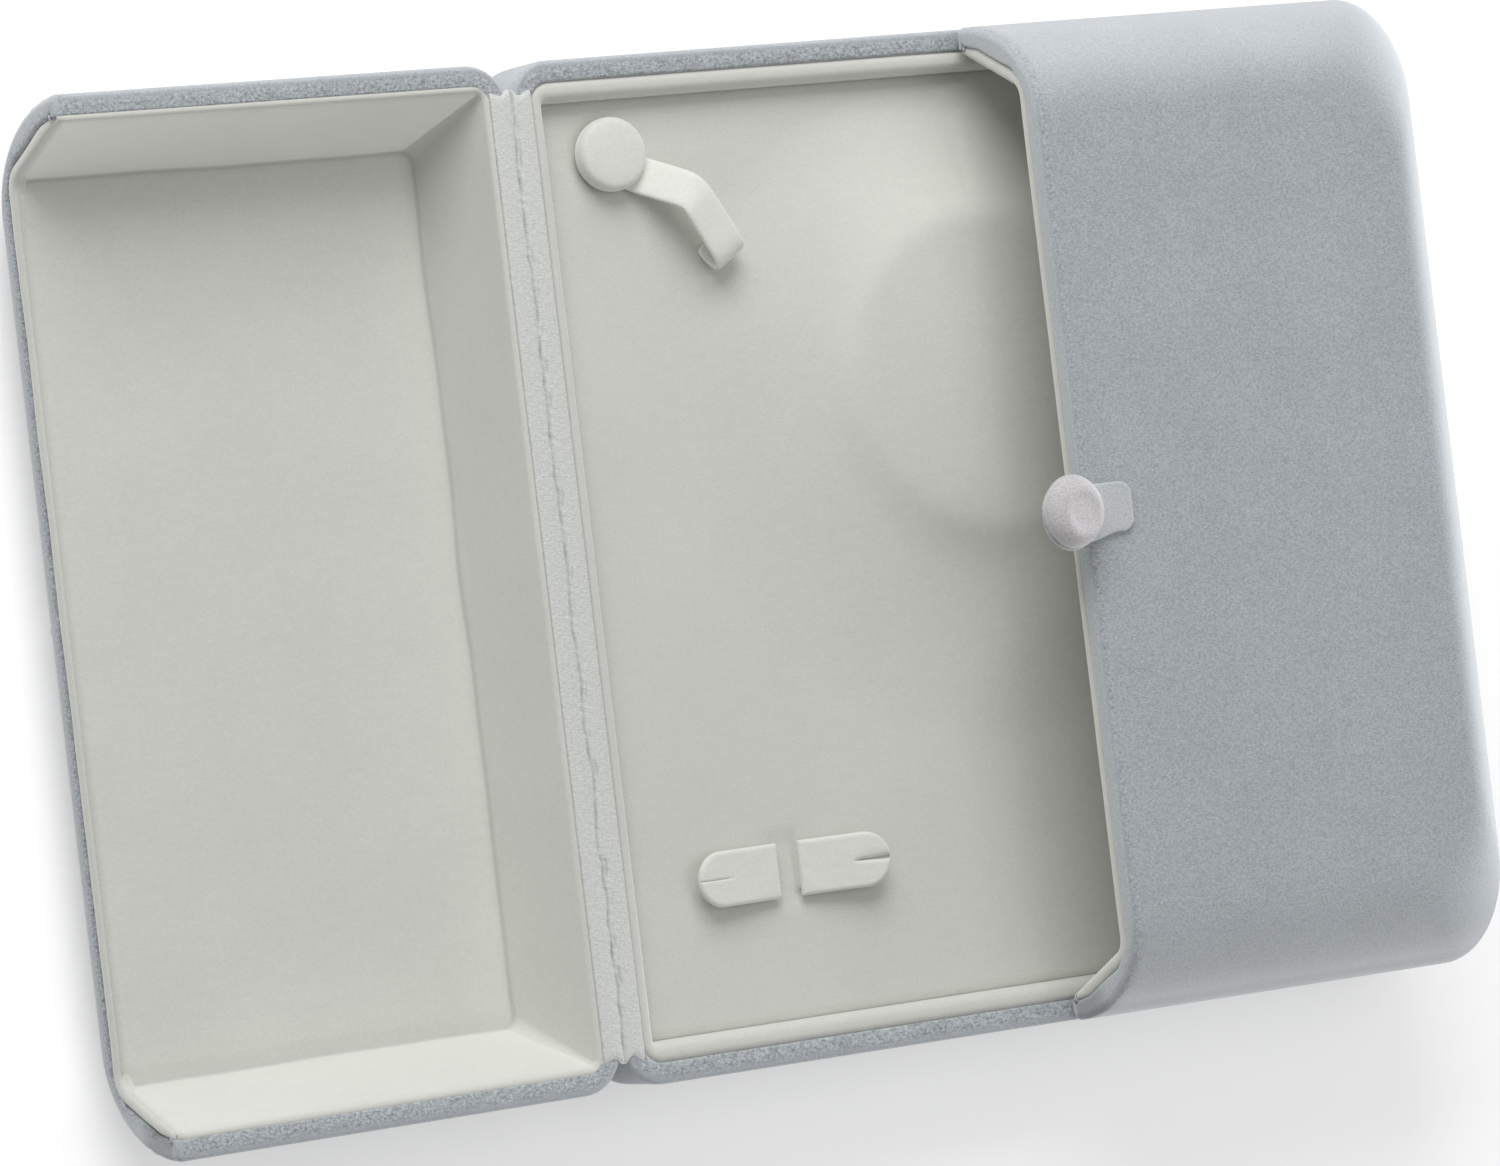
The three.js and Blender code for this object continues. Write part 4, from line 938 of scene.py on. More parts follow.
def build_tabs(shape, finish):
    """The pair of earring tabs: soft flaps with a slit in their round ends, on tongues through the panel.

    Half a flap's thickness is a quarter round of the distance to its outline, and its top dips to
    its underside along the slit. The tongue is a rounded bar under its square end.
    """
    suede = suede_material("trim_suede", finish.trim_suede, finish.nap)
    half, thick, reach = shape.tab_width / 2, shape.tab_thickness / 2, shape.tab_length
    slit_start, edge = reach - 8 * MM, 0.8 * MM
    rise = np.radians(8)
    near_end = np.array([0, 0.04, 0.12, 0.25, 0.42, 0.6, 0.8]) * MM
    outer = reach - half + half * np.sin(np.linspace(0, np.pi / 2, 34))
    s = np.concatenate([near_end, np.linspace(1.0 * MM, reach - half, 60)[:-1], outer])[:, None]
    by_slit = [0, 0.008, 0.02, 0.035, 0.055, 0.08, 0.11, 0.15, 0.22, 0.32, 0.43]
    by_edge = [0.54, 0.65, 0.75, 0.82, 0.87, 0.91, 0.945, 0.97, 0.987, 0.996, 1.0]
    step = np.array(by_slit + by_edge)
    share = np.concatenate([-step[:0:-1], step])
    width = np.where(s < reach - half, half, np.sqrt(np.maximum(0, half**2 - (s - reach + half) ** 2)))
    y = share * width
    to_end = np.where(s < reach - half, half - np.abs(y), half - np.hypot(s - reach + half, y))
    to_outline = np.minimum(to_end, s)
    part = np.clip(to_outline / edge, 0, 1)
    body = thick * quarter_round(part)
    below = np.array([-5.0, -4.9, -4.6, -3.0, -1.5, -0.4, 0.3, 0.8]) * MM
    closing = np.array([0, 0.6, 1, 1, 1, 1, 1, 0])
    centres = np.stack([0 * below + 0.75 * MM, 0 * below, below], axis=1)
    axes = np.broadcast_to(np.eye(3)[:, None, :], (3, len(below), 3))
    tongue = soft_bar(centres, axes[1], axes[0], 3.9 * MM * closing, 0.55 * MM * closing)
    past = smooth_step((s - slit_start) / (2.5 * MM))
    pair = (
        ("left", -1, TAB_ROOTS[0], 0.0, 0.3, 0.08 * MM, 3),
        ("right", 1, TAB_ROOTS[1], 0.22 * MM, 1.0, 0.3 * MM, 8),
    )
    for side, sign, root, opening, depth, parting, seed in pair:
        gap = opening * smooth_step((s - slit_start) / (8 * MM)) ** 2
        beside = np.clip((np.abs(y) - gap) / ((0.3 + 0.4 * depth) * MM), 0, 1)
        dip = depth * past * (1 - quarter_round(beside))
        lift = past * smooth_step(y / (2 * MM)) * parting
        puff = 0.035 * MM * ripple(s + 1.3 * y, 9 * MM, seed)
        upper = body + lift + puff * part - dip * (2 * body - 0.04 * MM)
        lower = -body + lift + puff * part
        layers = []
        for offset in (upper, lower):
            x = s * np.cos(rise) - offset * np.sin(rise)
            z = 0.25 * MM + thick + s * np.sin(rise) + offset * np.cos(rise)
            layers.append(np.stack([x + 0 * y, y, z + 0 * y], axis=-1))
        flap = np.concatenate([layers[0], layers[1][:, ::-1]], axis=1)
        place, mirror = np.array([root, TAB_Y, panel_level(shape)]), np.array([sign, 1, 1])
        name = "earring_tab_" + side
        grids = [(flap * mirror + place, False, True), (tongue * mirror + place, False, True)]
        tab = piece(name + "_cloth", grids, suede)
        fasten(tab, "base", "cream_suede", name)


def strip_piece(name, upper, lower, flat, opened, material):
    """A closed strip from its upper and lower faces, with its ends capped and its flat chart."""
    grids, charts = [(np.concatenate([upper, lower[::-1]]), True, False)], [flat, flat[::-1]]
    for end in (0, -1):
        grids.append((np.stack([upper[:, end], lower[:, end]], axis=1), False, False))
        charts.append(np.repeat(flat[:, end], 2, axis=0))
    chart = np.concatenate([points.reshape(-1, 2) for points in charts])
    # The fold share is painted shade along the open strip's crease and the closed strip's bend.
    fold = np.concatenate([opened.ravel(), opened[::-1].ravel(), np.zeros(4 * len(flat))])
    return piece(name, grids, material, chart=chart, fold=fold)


def hang_strip(strip, side):
    """Bakes a hinge strip's place into its mesh, in place of the hinge's two leaves."""
    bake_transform(strip)
    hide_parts(side + "_hinge_leaf_base", side + "_hinge_leaf_door")


def stretched_strip():
    """Faces, flat chart and painted crease shade of the open hinge's strip, with a wrinkled crease.

    Its height is a low round on each side of the crease, less a narrow dip exp(-(a / w) ** 2)
    along a wandering line.
    """
    half = HINGE_STRIP_HALF
    y = np.linspace(-half, half, 560)
    a, along = np.meshgrid(np.linspace(-4.35, 4.2, 53) * MM, y, indexing="ij")
    wander = 0.35 * MM * ripple(along, 26 * MM, 31) + 0.12 * MM * ripple(along, 4.5 * MM, 32)
    crease = (0.7 + 0.3 * ripple(along, 7 * MM, 33)) * bell(a - wander, 0.24 * MM)
    second = np.clip(0.9 * ripple(along, 12 * MM, 34), 0, 1) * bell(a - wander - 0.8 * MM, 0.25 * MM)
    close = np.exp(-np.abs(a - wander) / (1.1 * MM))
    pucker = close * (0.07 * MM * ripple(along + 0.5 * a, 2.2 * MM, 35) - 0.03 * MM)
    pucker = pucker + 0.014 * MM * ripple(along - 0.8 * a, 1.7 * MM, 36)
    middle = np.where(a < 0, -2.2 * MM, 2.1 * MM)
    lobe = 0.3 * MM + 0.24 * MM * quarter_round(1 - np.abs(a - middle) / (2.25 * MM))
    at_end = np.minimum(1, (half - np.abs(along)) / (2.2 * MM))
    ending = quarter_round(at_end)
    top = np.minimum(lobe + pucker, 0.56 * MM) - 0.55 * MM * crease - 0.3 * MM * second
    top = top - 0.45 * MM * (1 - ending)
    lean = np.where(a < 0, -a * np.tan(np.pi - OPEN_ANGLE), 0)
    under = np.where(np.abs(a) < 1.2 * MM, -0.75 * MM, -0.2 * MM) - 0.3 * MM * (1 - ending)
    under = np.minimum(under, top - 0.08 * MM)
    skewed = along + 0.5 * MM * ripple(a, 3 * MM, 38) * np.sign(along) * (1 - at_end)
    level = BASE_RIM + lean
    faces = [np.stack([LEFT_HINGE[0] + a, skewed, level + face], axis=-1) for face in (top, under)]
    return *faces, np.stack([a, along], axis=-1), np.clip(0.8 * crease + 0.5 * second, 0, 1)


def folded_strip():
    """Faces, flat chart and painted shade along the bend of the closed hinge's strip.

    Its line runs along the base's rim, round half a turn, and back along the door's rim.
    """
    y = np.linspace(-HINGE_STRIP_HALF, HINGE_STRIP_HALF, 260)
    run = np.linspace(4.1, 0.5, 18) * MM
    turn = np.linspace(0, np.pi, 16)[1:-1]
    gap, thick = 0.3 * MM, 0.2 * MM
    line_a = np.concatenate([run, run[-1] - gap * np.sin(turn), run[::-1]])
    line_z = np.concatenate([0 * run - gap, -gap * np.cos(turn), 0 * run + gap])
    normal_a, normal_z = normals_of(line_a, line_z)
    wrinkle = 0.01 * MM * ripple(y, 5 * MM, 37)
    faces = []
    for offset in (thick + wrinkle, wrinkle - thick):
        x = RIGHT_HINGE[0] - (column(line_a) + column(normal_a) * offset)
        z = RIGHT_HINGE[2] + column(line_z) + column(normal_z) * offset
        faces.append(np.stack([x, np.broadcast_to(y, x.shape), z], axis=-1))
    bend = bell(line_a - line_a.min(), 0.3 * MM)
    # Painted shade along the bend.
    opened = np.clip(column(bend) * (0.6 + 0.12 * ripple(y, 14 * MM, 39)), 0, 1)
    path = np.cumsum(np.hypot(np.gradient(line_a), np.gradient(line_z)))
    return *faces, np.stack(np.meshgrid(path, y, indexing="ij"), axis=-1), opened


def build_hinges(finish):
    """Two cloth hinge strips across the rims: one stretched flat, one folded back on itself."""
    pale = pale_material("pale_velvet", finish.pale_velvet, finish.speckle)
    strip = strip_piece("left_hinge_cloth", *stretched_strip(), pale)
    hang_strip(strip, "left")
    strip = strip_piece("right_hinge_cloth", *folded_strip(), pale)
    hang_strip(strip, "right")


def clasp_frame(points):
    """Points of the loose clasp, x towards the button, to where it stands up at rest."""
    x, y, z = np.moveaxis(points, -1, 0)
    out = -x * np.cos(CLASP_RISE) + z * np.sin(CLASP_RISE)
    up = x * np.sin(CLASP_RISE) + z * np.cos(CLASP_RISE)
    return np.stack([CLASP_FOLD[0] + out, CLASP_FOLD[1] + y, CLASP_FOLD[2] + up], axis=-1)


def build_clasp(finish):
    """The clasp: a cloth tab from the right door to a round end, and its covered button.

    The tab's two edges follow its rounded root, its neck and the round end, fuller on the lower
    side, and are rounded over. The button is a turned profile with a shallow dish.
    """
    pale = pale_material("clasp_velvet", finish.clasp_velvet, finish.speckle)
    mauve = velvet_material("mauve_velvet", finish.mauve_velvet, finish.speckle * 0.8)
    root = CLASP_ROOT_END - CLASP_FOLD[0]
    disc, neck, corner = 6.75 * MM, 4.7 * MM, 2.6 * MM
    disc_x, disc_y = CLASP_REACH - 0.7 * MM, -0.55 * MM
    turn = np.linspace(0, np.pi / 2, 12)
    shaft = np.linspace(-root + corner, disc_x - disc, 34)[1:-1]
    around = disc_x - disc * np.cos(np.linspace(0, np.pi, 46))
    s = np.concatenate([-root + corner * (1 - np.cos(turn)), shaft, around])
    back = np.maximum(0, corner - root - s)
    straight = neck - corner + np.sqrt(np.maximum(0, corner**2 - back**2))
    round_end = np.sqrt(np.maximum(0, disc**2 - (s - disc_x) ** 2))
    flare = smooth_step((s + 3.5 * MM) / (8 * MM)) * 1.35 * MM
    before = s < disc_x
    high = np.where(before, np.maximum(straight, disc_y + round_end), disc_y + round_end)
    low = np.where(before, np.maximum(straight + flare, round_end - disc_y), round_end - disc_y)
    share = (1 - np.cos(np.linspace(0, np.pi, 41))) / 2
    y = column(high + low) * share - column(low)
    inside = np.minimum(column(high) - y, y + column(low))
    inside = np.minimum(inside, column(np.minimum(s + root, disc_x + disc - s)))
    thick = 0.5 * MM
    body = thick * quarter_round(np.clip(inside / thick, 0, 1))
    bend = CLASP_RISE * smooth_step((s + 1.4 * MM) / (2.8 * MM))
    step = np.diff(s, prepend=s[0])
    x = np.cumsum(step * np.cos(bend)) - root
    z = np.cumsum(step * np.sin(bend))
    layers = []
    for offset in (body, -body):
        forward = column(x) - column(np.sin(bend)) * offset
        up = column(z) + column(np.cos(bend)) * offset
        layers.append(CLASP_FOLD + np.stack([-forward, y, up], axis=-1))
    loop = np.concatenate([layers[0], layers[1][:, ::-1]], axis=1)
    chart = np.stack([np.broadcast_to(s[:, None], y.shape), y], axis=-1)
    chart = np.concatenate([chart, chart[:, ::-1]], axis=1)
    tab = piece("clasp_cloth", [(loop, False, True)], pale, chart=chart)
    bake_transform(tab)
    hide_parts("clasp_tab_root", "clasp_tab")

    rows = turned(smooth_profile(CLASP_BUTTON, 6) * MM)
    dish = smooth_step((rows[..., 2] - 3.5 * MM) / (1.5 * MM))
    rows[..., 0] += CLASP_REACH + 0.1 * MM - 0.2 * MM * dish
    rows[..., 1] -= 0.3 * MM * dish
    button = piece("clasp_covered_button", [(clasp_frame(rows), False, True)], mauve)
    fasten(button, "clasp", "mauve_velvet", "clasp_button")


# Materials


def once(make):
    """Makes a finish the first time that it is asked for, and finds it by its name after that."""

    @wraps(make)
    def found(name, *settings):
        return bpy.data.materials.get(name + FINISH) or make(name, *settings)

    return found


def shader(name):
    """A new material, its node tree and its surface shader."""
    material = bpy.data.materials.new(name + FINISH)
    material.use_nodes = True
    tree = material.node_tree
    surface = next(node for node in tree.nodes if node.type == "BSDF_PRINCIPLED")
    return material, tree, surface


def noise(tree, vector, size, detail, roughness=0.5, stretch=(1, 1, 1)):
    """A noise whose cells have that size on a coordinate, finer along the axes that are stretched."""
    mapping = tree.nodes.new("ShaderNodeMapping")
    mapping.inputs["Scale"].default_value = [share / size for share in stretch]
    tree.links.new(vector, mapping.inputs["Vector"])
    node = tree.nodes.new("ShaderNodeTexNoise")
    node.inputs["Scale"].default_value = 1.0
    node.inputs["Detail"].default_value = detail
    node.inputs["Roughness"].default_value = roughness
    tree.links.new(mapping.outputs["Vector"], node.inputs["Vector"])
    return node.outputs["Fac"]


def shares(tree, name):
    """A share per point of the mesh, 0 where a piece has none."""
    node = tree.nodes.new("ShaderNodeAttribute")
    node.attribute_name = name
    return node.outputs["Fac"]


def ramp(tree, value, stops):
    """A colour ramp through (position, linear colour) stops."""
    node = tree.nodes.new("ShaderNodeValToRGB")
    band = node.color_ramp
    while len(band.elements) < len(stops):
        band.elements.new(0.5)
    for element, (position, shade) in zip(band.elements, stops):
        element.position = position
        element.color = shade
    tree.links.new(value, node.inputs["Fac"])
    return node.outputs["Color"]


def mixed(tree, kind, factor, first, second):
    """A colour mix. factor is a number or a socket."""
    node = tree.nodes.new("ShaderNodeMix")
    node.data_type = "RGBA"
    node.blend_type = kind
    # The node has sockets for several types: 6 and 7, and output 2, are its colours.
    sockets = [node.inputs[0], node.inputs[6], node.inputs[7]]
    for socket, value in zip(sockets, (factor, first, second)):
        if isinstance(value, (float, int, tuple)):
            socket.default_value = value
        else:
            tree.links.new(value, socket)
    return node.outputs[2]


def grain(tree, value, display, dark, light):
    """A colour that goes from dark to light shares of itself over the middle of a noise."""
    return ramp(tree, value, [(0.32, shaded(display, dark)), (0.68, shaded(display, light))])


def bump(tree, surface, height, strength, distance):
    """Fine relief from a height value."""
    node = tree.nodes.new("ShaderNodeBump")
    node.inputs["Strength"].default_value = strength
    node.inputs["Distance"].default_value = distance
    tree.links.new(height, node.inputs["Height"])
    tree.links.new(node.outputs["Normal"], surface.inputs["Normal"])


def shaded(display, factor):
    """A display colour times a factor, as a linear colour."""
    made = np.array(linear(display)[:3]) * factor
    return (*np.clip(made, 0, 1).tolist(), 1.0)


def cloth_finish(surface, sheen, tint, roughness):
    """Dull cloth with a soft sheen at grazing angles."""
    surface.inputs["Roughness"].default_value = 0.95
    surface.inputs["Specular IOR Level"].default_value = 0.12
    surface.inputs["Sheen Weight"].default_value = sheen
    surface.inputs["Sheen Roughness"].default_value = roughness
    surface.inputs["Sheen Tint"].default_value = tint


@once
def velvet_material(name, display, speckle):
    """Short pile velvet: a fine speckle, mostly in relief, and soft clouds.

    The pile shows coarse where the cloth folds. A painted highlight makes it pale, and painted
    shade makes it dark, where their shares are set.
    """
    material, tree, surface = shader(name)
    place = tree.nodes.new("ShaderNodeTexCoord").outputs["Object"]
    fine = noise(tree, place, speckle, 3.0, 0.65, (0.9, 1.35, 1.1))
    coarse = noise(tree, place, 1.25 * speckle, 3.0, 0.65, (0.9, 1.2, 1.0))
    cloud = noise(tree, place, 17 * MM, 2.0)
    base = grain(tree, fine, display, 0.76, 1.24)
    # Painted highlight: a paler grain where the highlight share is set.
    base = mixed(tree, "MIX", shares(tree, "brushed"), base, grain(tree, fine, display, 1.6, 1.85))
    base = mixed(tree, "MIX", shares(tree, "fold"), base, grain(tree, coarse, display, 0.58, 1.5))
    # Painted shade: darker where the shade share is set, at the foot of the lower roll.
    base = mixed(tree, "MULTIPLY", shares(tree, "against"), base, (0.6, 0.6, 0.6, 1.0))
    base = mixed(tree, "MULTIPLY", 1.0, base, grain(tree, cloud, (1, 1, 1), 0.95, 1.0))
    tree.links.new(base, surface.inputs["Base Color"])
    cloth_finish(surface, sheen=1.0, tint=(0.95, 0.975, 1.0, 1), roughness=0.5)
    bump(tree, surface, fine, strength=0.4, distance=0.2 * MM)
    return material


@once
def pale_material(name, display, speckle):
    """Pale brushed cloth on the surface's own flat coordinates, so that it bends with the piece."""
    material, tree, surface = shader(name)
    place = tree.nodes.new("ShaderNodeUVMap")
    place.uv_map = "cloth"
    place = place.outputs["UV"]
    fine = noise(tree, place, speckle, 3.0, 0.65)
    fibre = noise(tree, place, 1.3 * speckle, 3.0, 0.6, (0.6, 1.6, 1.0))
    base = grain(tree, fine, display, 0.86, 1.1)
    base = mixed(tree, "MULTIPLY", 1.0, base, grain(tree, fibre, (1, 1, 1), 0.88, 1.0))
    # Painted shade along the crease and the bend of the hinge strips.
    base = mixed(tree, "MIX", shares(tree, "fold"), base, shaded(display, 0.5))
    tree.links.new(base, surface.inputs["Base Color"])
    cloth_finish(surface, sheen=0.8, tint=(1.0, 1.0, 1.0, 1), roughness=0.5)
    bump(tree, surface, fibre, strength=0.5, distance=0.25 * MM)
    return material


@once
def suede_material(name, display, nap):
    """Cream suede cloth: a fine nap with faint brushed streaks and slow mottling.

    Painted shade darkens it in creases, and a painted highlight makes it paler where its share is set.
    """
    material, tree, surface = shader(name)
    place = tree.nodes.new("ShaderNodeTexCoord").outputs["Object"]
    fine = noise(tree, place, nap, 3.0, 0.65, (0.7, 1.3, 1.0))
    streak = noise(tree, place, 3.2 * nap, 2.0, 0.5, (0.35, 1.3, 1.0))
    slow = noise(tree, place, 26 * MM, 2.0)
    base = grain(tree, fine, display, 0.95, 1.05)
    # Painted highlight: a paler nap on the liner's end walls and the bust's upper slope.
    base = mixed(tree, "MIX", shares(tree, "brushed"), base, grain(tree, fine, display, 1.32, 1.37))
    # Painted shade in the creases and on the hinge's wall.
    base = mixed(tree, "MIX", shares(tree, "fold"), base, shaded(display, 0.76))
    base = mixed(tree, "MULTIPLY", 1.0, base, grain(tree, streak, (1, 1, 1), 0.975, 1.0))
    base = mixed(tree, "MULTIPLY", 1.0, base, grain(tree, slow, (1, 1, 0.99), 0.965, 1.0))
    tree.links.new(base, surface.inputs["Base Color"])
    cloth_finish(surface, sheen=1.0, tint=(1.0, 1.0, 0.98, 1), roughness=0.6)
    bump(tree, surface, fine, strength=0.2, distance=0.12 * MM)
    return material


@once
def board_material(name, display, size):
    """Grey board or foam: fibres or cells as a fine mottle."""
    material, tree, surface = shader(name)
    place = tree.nodes.new("ShaderNodeTexCoord").outputs["Object"]
    fibre = noise(tree, place, size, 4.0, 0.6, (0.5, 1.2, 1.0))
    base = grain(tree, fibre, display, 0.86, 1.08)
    tree.links.new(base, surface.inputs["Base Color"])
    surface.inputs["Roughness"].default_value = 0.9
    surface.inputs["Specular IOR Level"].default_value = 0.25
    bump(tree, surface, fibre, strength=0.3, distance=0.1 * MM)
    return material


@once
def metal_material(name, display):
    """Nickel-plated steel with fine turning marks."""
    material, tree, surface = shader(name)
    place = tree.nodes.new("ShaderNodeTexCoord").outputs["Object"]
    mark = noise(tree, place, 0.4 * MM, 3.0, 0.6, (1.0, 1.0, 3.0))
    base = grain(tree, mark, display, 0.9, 1.05)
    tree.links.new(base, surface.inputs["Base Color"])
    dull = ramp(tree, mark, [(0.3, (0.24, 0.24, 0.24, 1)), (0.7, (0.36, 0.36, 0.36, 1))])
    tree.links.new(dull, surface.inputs["Roughness"])
    surface.inputs["Metallic"].default_value = 1.0
    return material


def dress_solids(finish):
    """Procedural finishes for the solids that stay in view or inside."""
    velvet = velvet_material("grey_velvet", finish.grey_velvet, finish.speckle)
    card = board_material("card", finish.card, 0.9 * MM)
    foam = board_material("foam", finish.foam, 0.5 * MM)
    nickel = metal_material("nickel", finish.nickel)
    shells = ("base_shell", "left_door_shell", "right_door_shell")
    rivets = ("hook_left_rivet", "hook_left_washer", "hook_right_rivet", "hook_right_washer")
    groups = (
        (velvet, "grey_velvet", ("base_bottom_sheet",)),
        (card, "card", (*shells, "panel_riser", "panel_board", "bust_former")),
        (foam, "foam", ("panel_foam",)),
        (nickel, "nickel", (*rivets, "snap_stud", "snap_stud_washer", "snap_socket", "snap_post")),
    )
    for material, slot, names in groups:
        for name in names:
            node = frame["nodes"][name]
            node.data.materials.clear()
            node.data.materials.append(material)


# Stage


def seen_share(tree):
    """1 for rays from the camera and for what metal shows, and 0 for light."""
    path = tree.nodes.new("ShaderNodeLightPath")
    total = path.outputs["Is Camera Ray"]
    for name in ("Is Glossy Ray", "Is Transmission Ray"):
        larger = tree.nodes.new("ShaderNodeMath")
        larger.operation = "MAXIMUM"
        tree.links.new(total, larger.inputs[0])
        tree.links.new(path.outputs[name], larger.inputs[1])
        total = larger.outputs[0]
    return total


def by_ray(tree, lit, seen, output):
    """Joins the shader that gives light and the one that is seen to an output."""
    pick = tree.nodes.new("ShaderNodeMixShader")
    for socket, value in zip(pick.inputs, (seen_share(tree), lit.outputs[0], seen.outputs[0])):
        tree.links.new(value, socket)
    tree.links.new(pick.outputs[0], output.inputs["Surface"])


def add_floor(scene, stage):
    """A white floor that takes a light shadow."""
    size = 4.0
    corners = [(-size, -size, 0), (size, -size, 0), (size, size, 0), (-size, size, 0)]
    mesh = bpy.data.meshes.new("floor")
    mesh.from_pydata(corners, [], [(0, 1, 2, 3)])
    material = bpy.data.materials.new("floor")
    material.use_nodes = True
    tree = material.node_tree
    tree.nodes.clear()
    output = tree.nodes.new("ShaderNodeOutputMaterial")
    diffuse = tree.nodes.new("ShaderNodeBsdfDiffuse")
    diffuse.inputs["Color"].default_value = linear(stage.floor)
    glow = tree.nodes.new("ShaderNodeEmission")
    glow.inputs["Strength"].default_value = stage.floor_glow
    both = tree.nodes.new("ShaderNodeAddShader")
    tree.links.new(diffuse.outputs[0], both.inputs[0])
    tree.links.new(glow.outputs[0], both.inputs[1])
    by_ray(tree, diffuse, both, output)
    mesh.materials.append(material)
    floor = bpy.data.objects.new("floor", mesh)
    scene.collection.objects.link(floor)


def add_sky(scene, stage):
    """An even light from all round, seen as white."""
    world = bpy.data.worlds.new("sky")
    scene.world = world
    world.use_nodes = True
    tree = world.node_tree
    tree.nodes.clear()
    output = tree.nodes.new("ShaderNodeOutputWorld")
    lit, seen = (tree.nodes.new("ShaderNodeBackground") for _ in range(2))
    for background, strength in ((lit, stage.sky), (seen, 1.0)):
        background.inputs["Color"].default_value = (1, 1, 1, 1)
        background.inputs["Strength"].default_value = strength
    by_ray(tree, lit, seen, output)


def add_lamps(scene, stage):
    """A large soft lamp beyond the upper end, and weaker ones overhead and low."""
    lamps = (
        ("upper_lamp", stage.key_power, (-0.38, 1.1, 0.8), (-0.05, 0, 0), (1.1, 0.8)),
        ("high_lamp", stage.high_power, (0.3, 0.1, 1.45), (0, 0, 0), (1.0, 0.8)),
        ("low_lamp", stage.low_power, (1.3, -0.4, 0.21), (0, 0, 0.03), (1.0, 0.3)),
    )
    for name, power, place, aim, (wide, tall) in lamps:
        light = bpy.data.lights.new(name, "AREA")
        light.shape = "RECTANGLE"
        light.size, light.size_y = wide, tall
        light.energy = power
        lamp = bpy.data.objects.new(name, light)
        lamp.location = place
        lamp.rotation_euler = (Vector(aim) - Vector(place)).to_track_quat("-Z", "Y").to_euler()
        scene.collection.objects.link(lamp)


def add_camera(scene):
    """The photograph's camera."""
    lens = bpy.data.cameras.new("camera")
    lens.sensor_fit = "HORIZONTAL"
    lens.sensor_width = SENSOR
    lens.lens = FOCAL_PIXELS * SENSOR / IMAGE_WIDTH
    lens.clip_end = 50.0
    camera = bpy.data.objects.new("camera", lens)
    back = -CAMERA_FORWARD.normalized()
    right = CAMERA_UP.cross(back).normalized()
    up = back.cross(right)
    turn = Matrix((right, up, back)).transposed().to_4x4()
    camera.matrix_world = Matrix.Translation(CAMERA_EYE) @ turn
    scene.collection.objects.link(camera)
    scene.camera = camera


def build_stage(stage):
    """Floor, sky, lamps and camera."""
    scene = bpy.context.scene
    scene.view_settings.view_transform = "Standard"
    add_floor(scene, stage)
    add_sky(scene, stage)
    add_lamps(scene, stage)
    add_camera(scene)


class BOX_OT_stage(bpy.types.Operator):
    """Add the floor, the sky, the lamps and the camera"""

    bl_idname = "necklace_box.stage"
    bl_label = "Stage"

    def execute(self, context):
        build_stage(context.scene.box_stage)
        return {"FINISHED"}


class BOX_OT_solids(bpy.types.Operator):
    """Dress the solids that stay inside the box"""

    bl_idname = "necklace_box.solids"
    bl_label = "Inner Solids"

    def execute(self, context):
        dress_solids(context.scene.box_finish)
        return {"FINISHED"}


class BOX_OT_tray(bpy.types.Operator):
    """Add the base's cover and its collar"""

    bl_idname = "necklace_box.tray"
    bl_label = "Base Tray"

    def execute(self, context):
        build_tray(context.scene.box_shape, context.scene.box_finish)
        return {"FINISHED"}


class BOX_OT_panel(bpy.types.Operator):
    """Add the padded panel with its bust"""

    bl_idname = "necklace_box.panel"
    bl_label = "Padded Panel"

    def execute(self, context):
        build_panel(context.scene.box_shape, context.scene.box_finish)
        return {"FINISHED"}


class BOX_OT_hooks(bpy.types.Operator):
    """Add the two necklace hooks"""

    bl_idname = "necklace_box.hooks"
    bl_label = "Necklace Hooks"

    def execute(self, context):
        build_hooks(context.scene.box_shape, context.scene.box_finish)
        return {"FINISHED"}


class BOX_OT_tabs(bpy.types.Operator):
    """Add the pair of earring tabs"""

    bl_idname = "necklace_box.tabs"
    bl_label = "Earring Tabs"

    def execute(self, context):
        build_tabs(context.scene.box_shape, context.scene.box_finish)
        return {"FINISHED"}


class BOX_OT_doors(bpy.types.Operator):
    """Add the covers and linings of both doors"""

    bl_idname = "necklace_box.doors"
    bl_label = "Doors"

    def execute(self, context):
        build_doors(context.scene.box_shape, context.scene.box_finish)
        return {"FINISHED"}


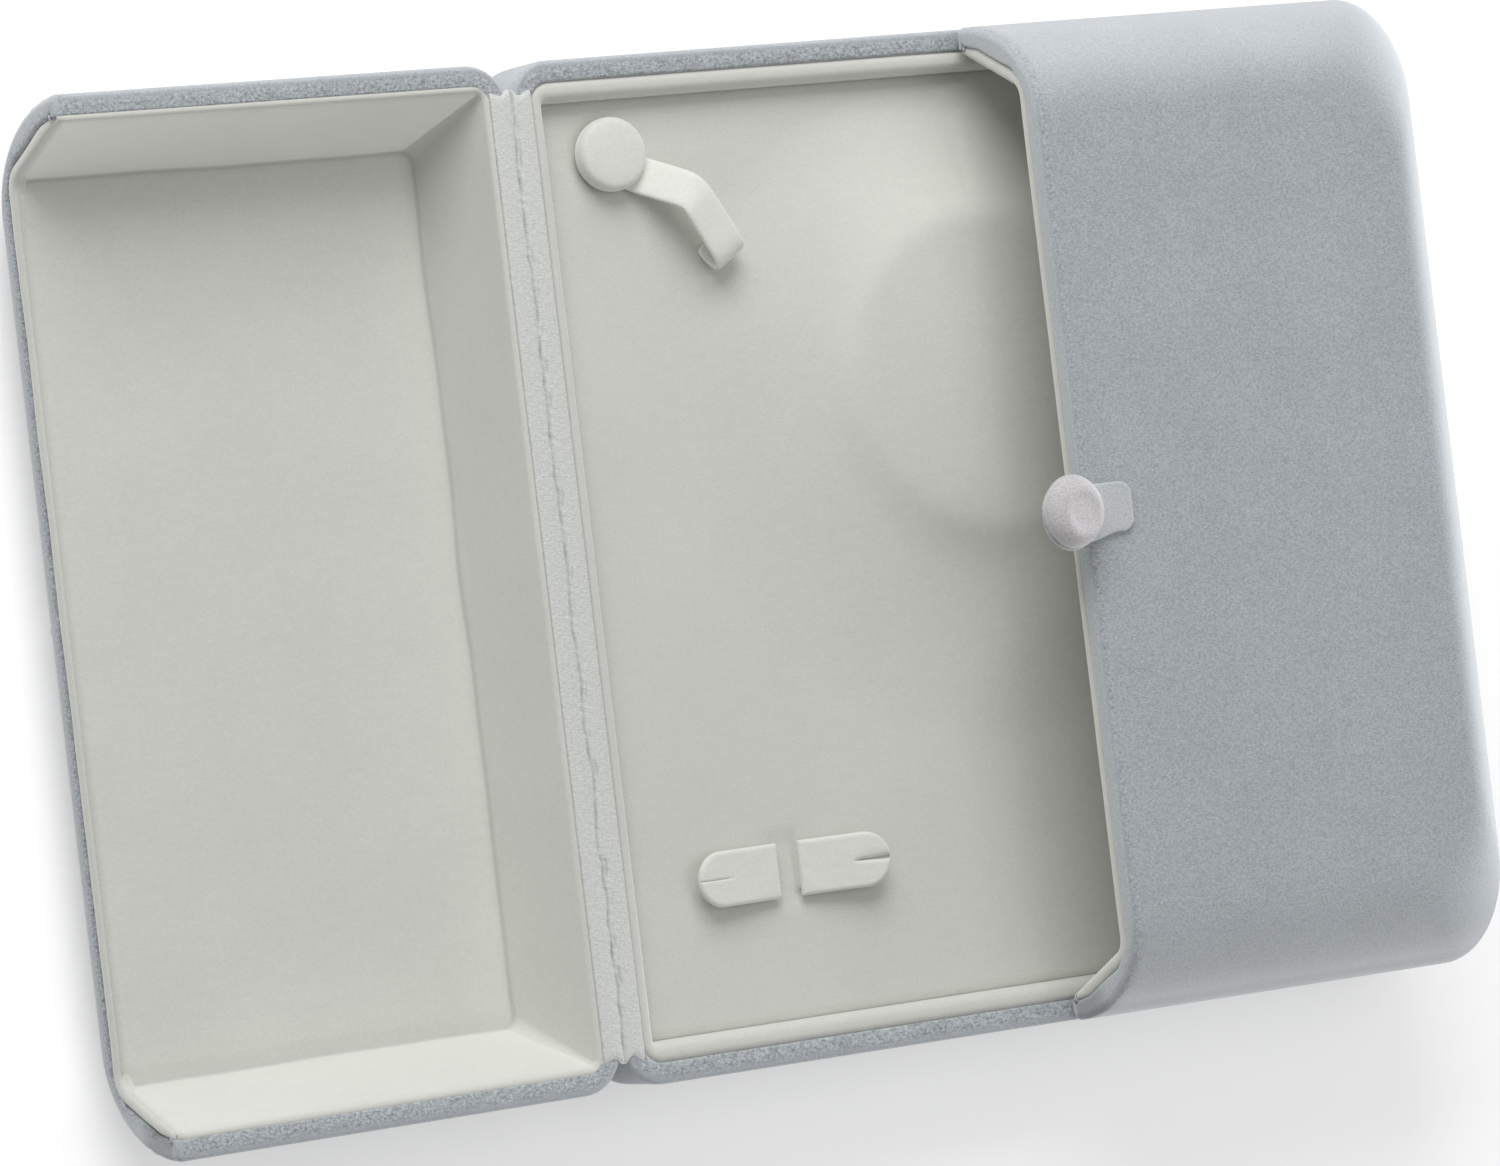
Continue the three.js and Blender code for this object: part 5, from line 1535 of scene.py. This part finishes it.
class BOX_OT_hinges(bpy.types.Operator):
    """Add the two cloth hinge strips"""

    bl_idname = "necklace_box.hinges"
    bl_label = "Hinge Strips"

    def execute(self, context):
        build_hinges(context.scene.box_finish)
        return {"FINISHED"}


class BOX_OT_clasp(bpy.types.Operator):
    """Add the clasp's tab and its covered button"""

    bl_idname = "necklace_box.clasp"
    bl_label = "Clasp"

    def execute(self, context):
        build_clasp(context.scene.box_finish)
        return {"FINISHED"}


OPERATORS = (
    BOX_OT_stage,
    BOX_OT_solids,
    BOX_OT_tray,
    BOX_OT_panel,
    BOX_OT_hooks,
    BOX_OT_tabs,
    BOX_OT_doors,
    BOX_OT_hinges,
    BOX_OT_clasp,
)


class BOX_PT_pieces(bpy.types.Panel):
    """Lists the pieces of the necklace box and their sizes and colours"""

    bl_idname = "BOX_PT_pieces"
    bl_label = "Necklace Box"
    bl_space_type = "VIEW_3D"
    bl_region_type = "UI"
    bl_category = "Necklace Box"

    def draw(self, context):
        for operator in OPERATORS:
            self.layout.operator(operator.bl_idname)
        for group in (context.scene.box_shape, context.scene.box_finish, context.scene.box_stage):
            box = self.layout.box()
            for name in group.__annotations__:
                box.prop(group, name)


CLASSES = (BoxShape, BoxFinish, BoxStage, *OPERATORS, BOX_PT_pieces)


def register():
    """Adds the classes and their settings to Blender."""
    for made in CLASSES:
        bpy.utils.register_class(made)
    bpy.types.Scene.box_shape = PointerProperty(type=BoxShape)
    bpy.types.Scene.box_finish = PointerProperty(type=BoxFinish)
    bpy.types.Scene.box_stage = PointerProperty(type=BoxStage)


def unregister():
    """Removes the classes and their settings from Blender."""
    del bpy.types.Scene.box_stage
    del bpy.types.Scene.box_finish
    del bpy.types.Scene.box_shape
    for made in reversed(CLASSES):
        bpy.utils.unregister_class(made)


def main():
    """Builds the box."""
    register()
    bpy.ops.necklace_box.stage()
    bpy.ops.necklace_box.solids()
    bpy.ops.necklace_box.tray()
    bpy.ops.necklace_box.panel()
    bpy.ops.necklace_box.hooks()
    bpy.ops.necklace_box.tabs()
    bpy.ops.necklace_box.doors()
    bpy.ops.necklace_box.hinges()
    bpy.ops.necklace_box.clasp()


if __name__ == "__main__":
    main()
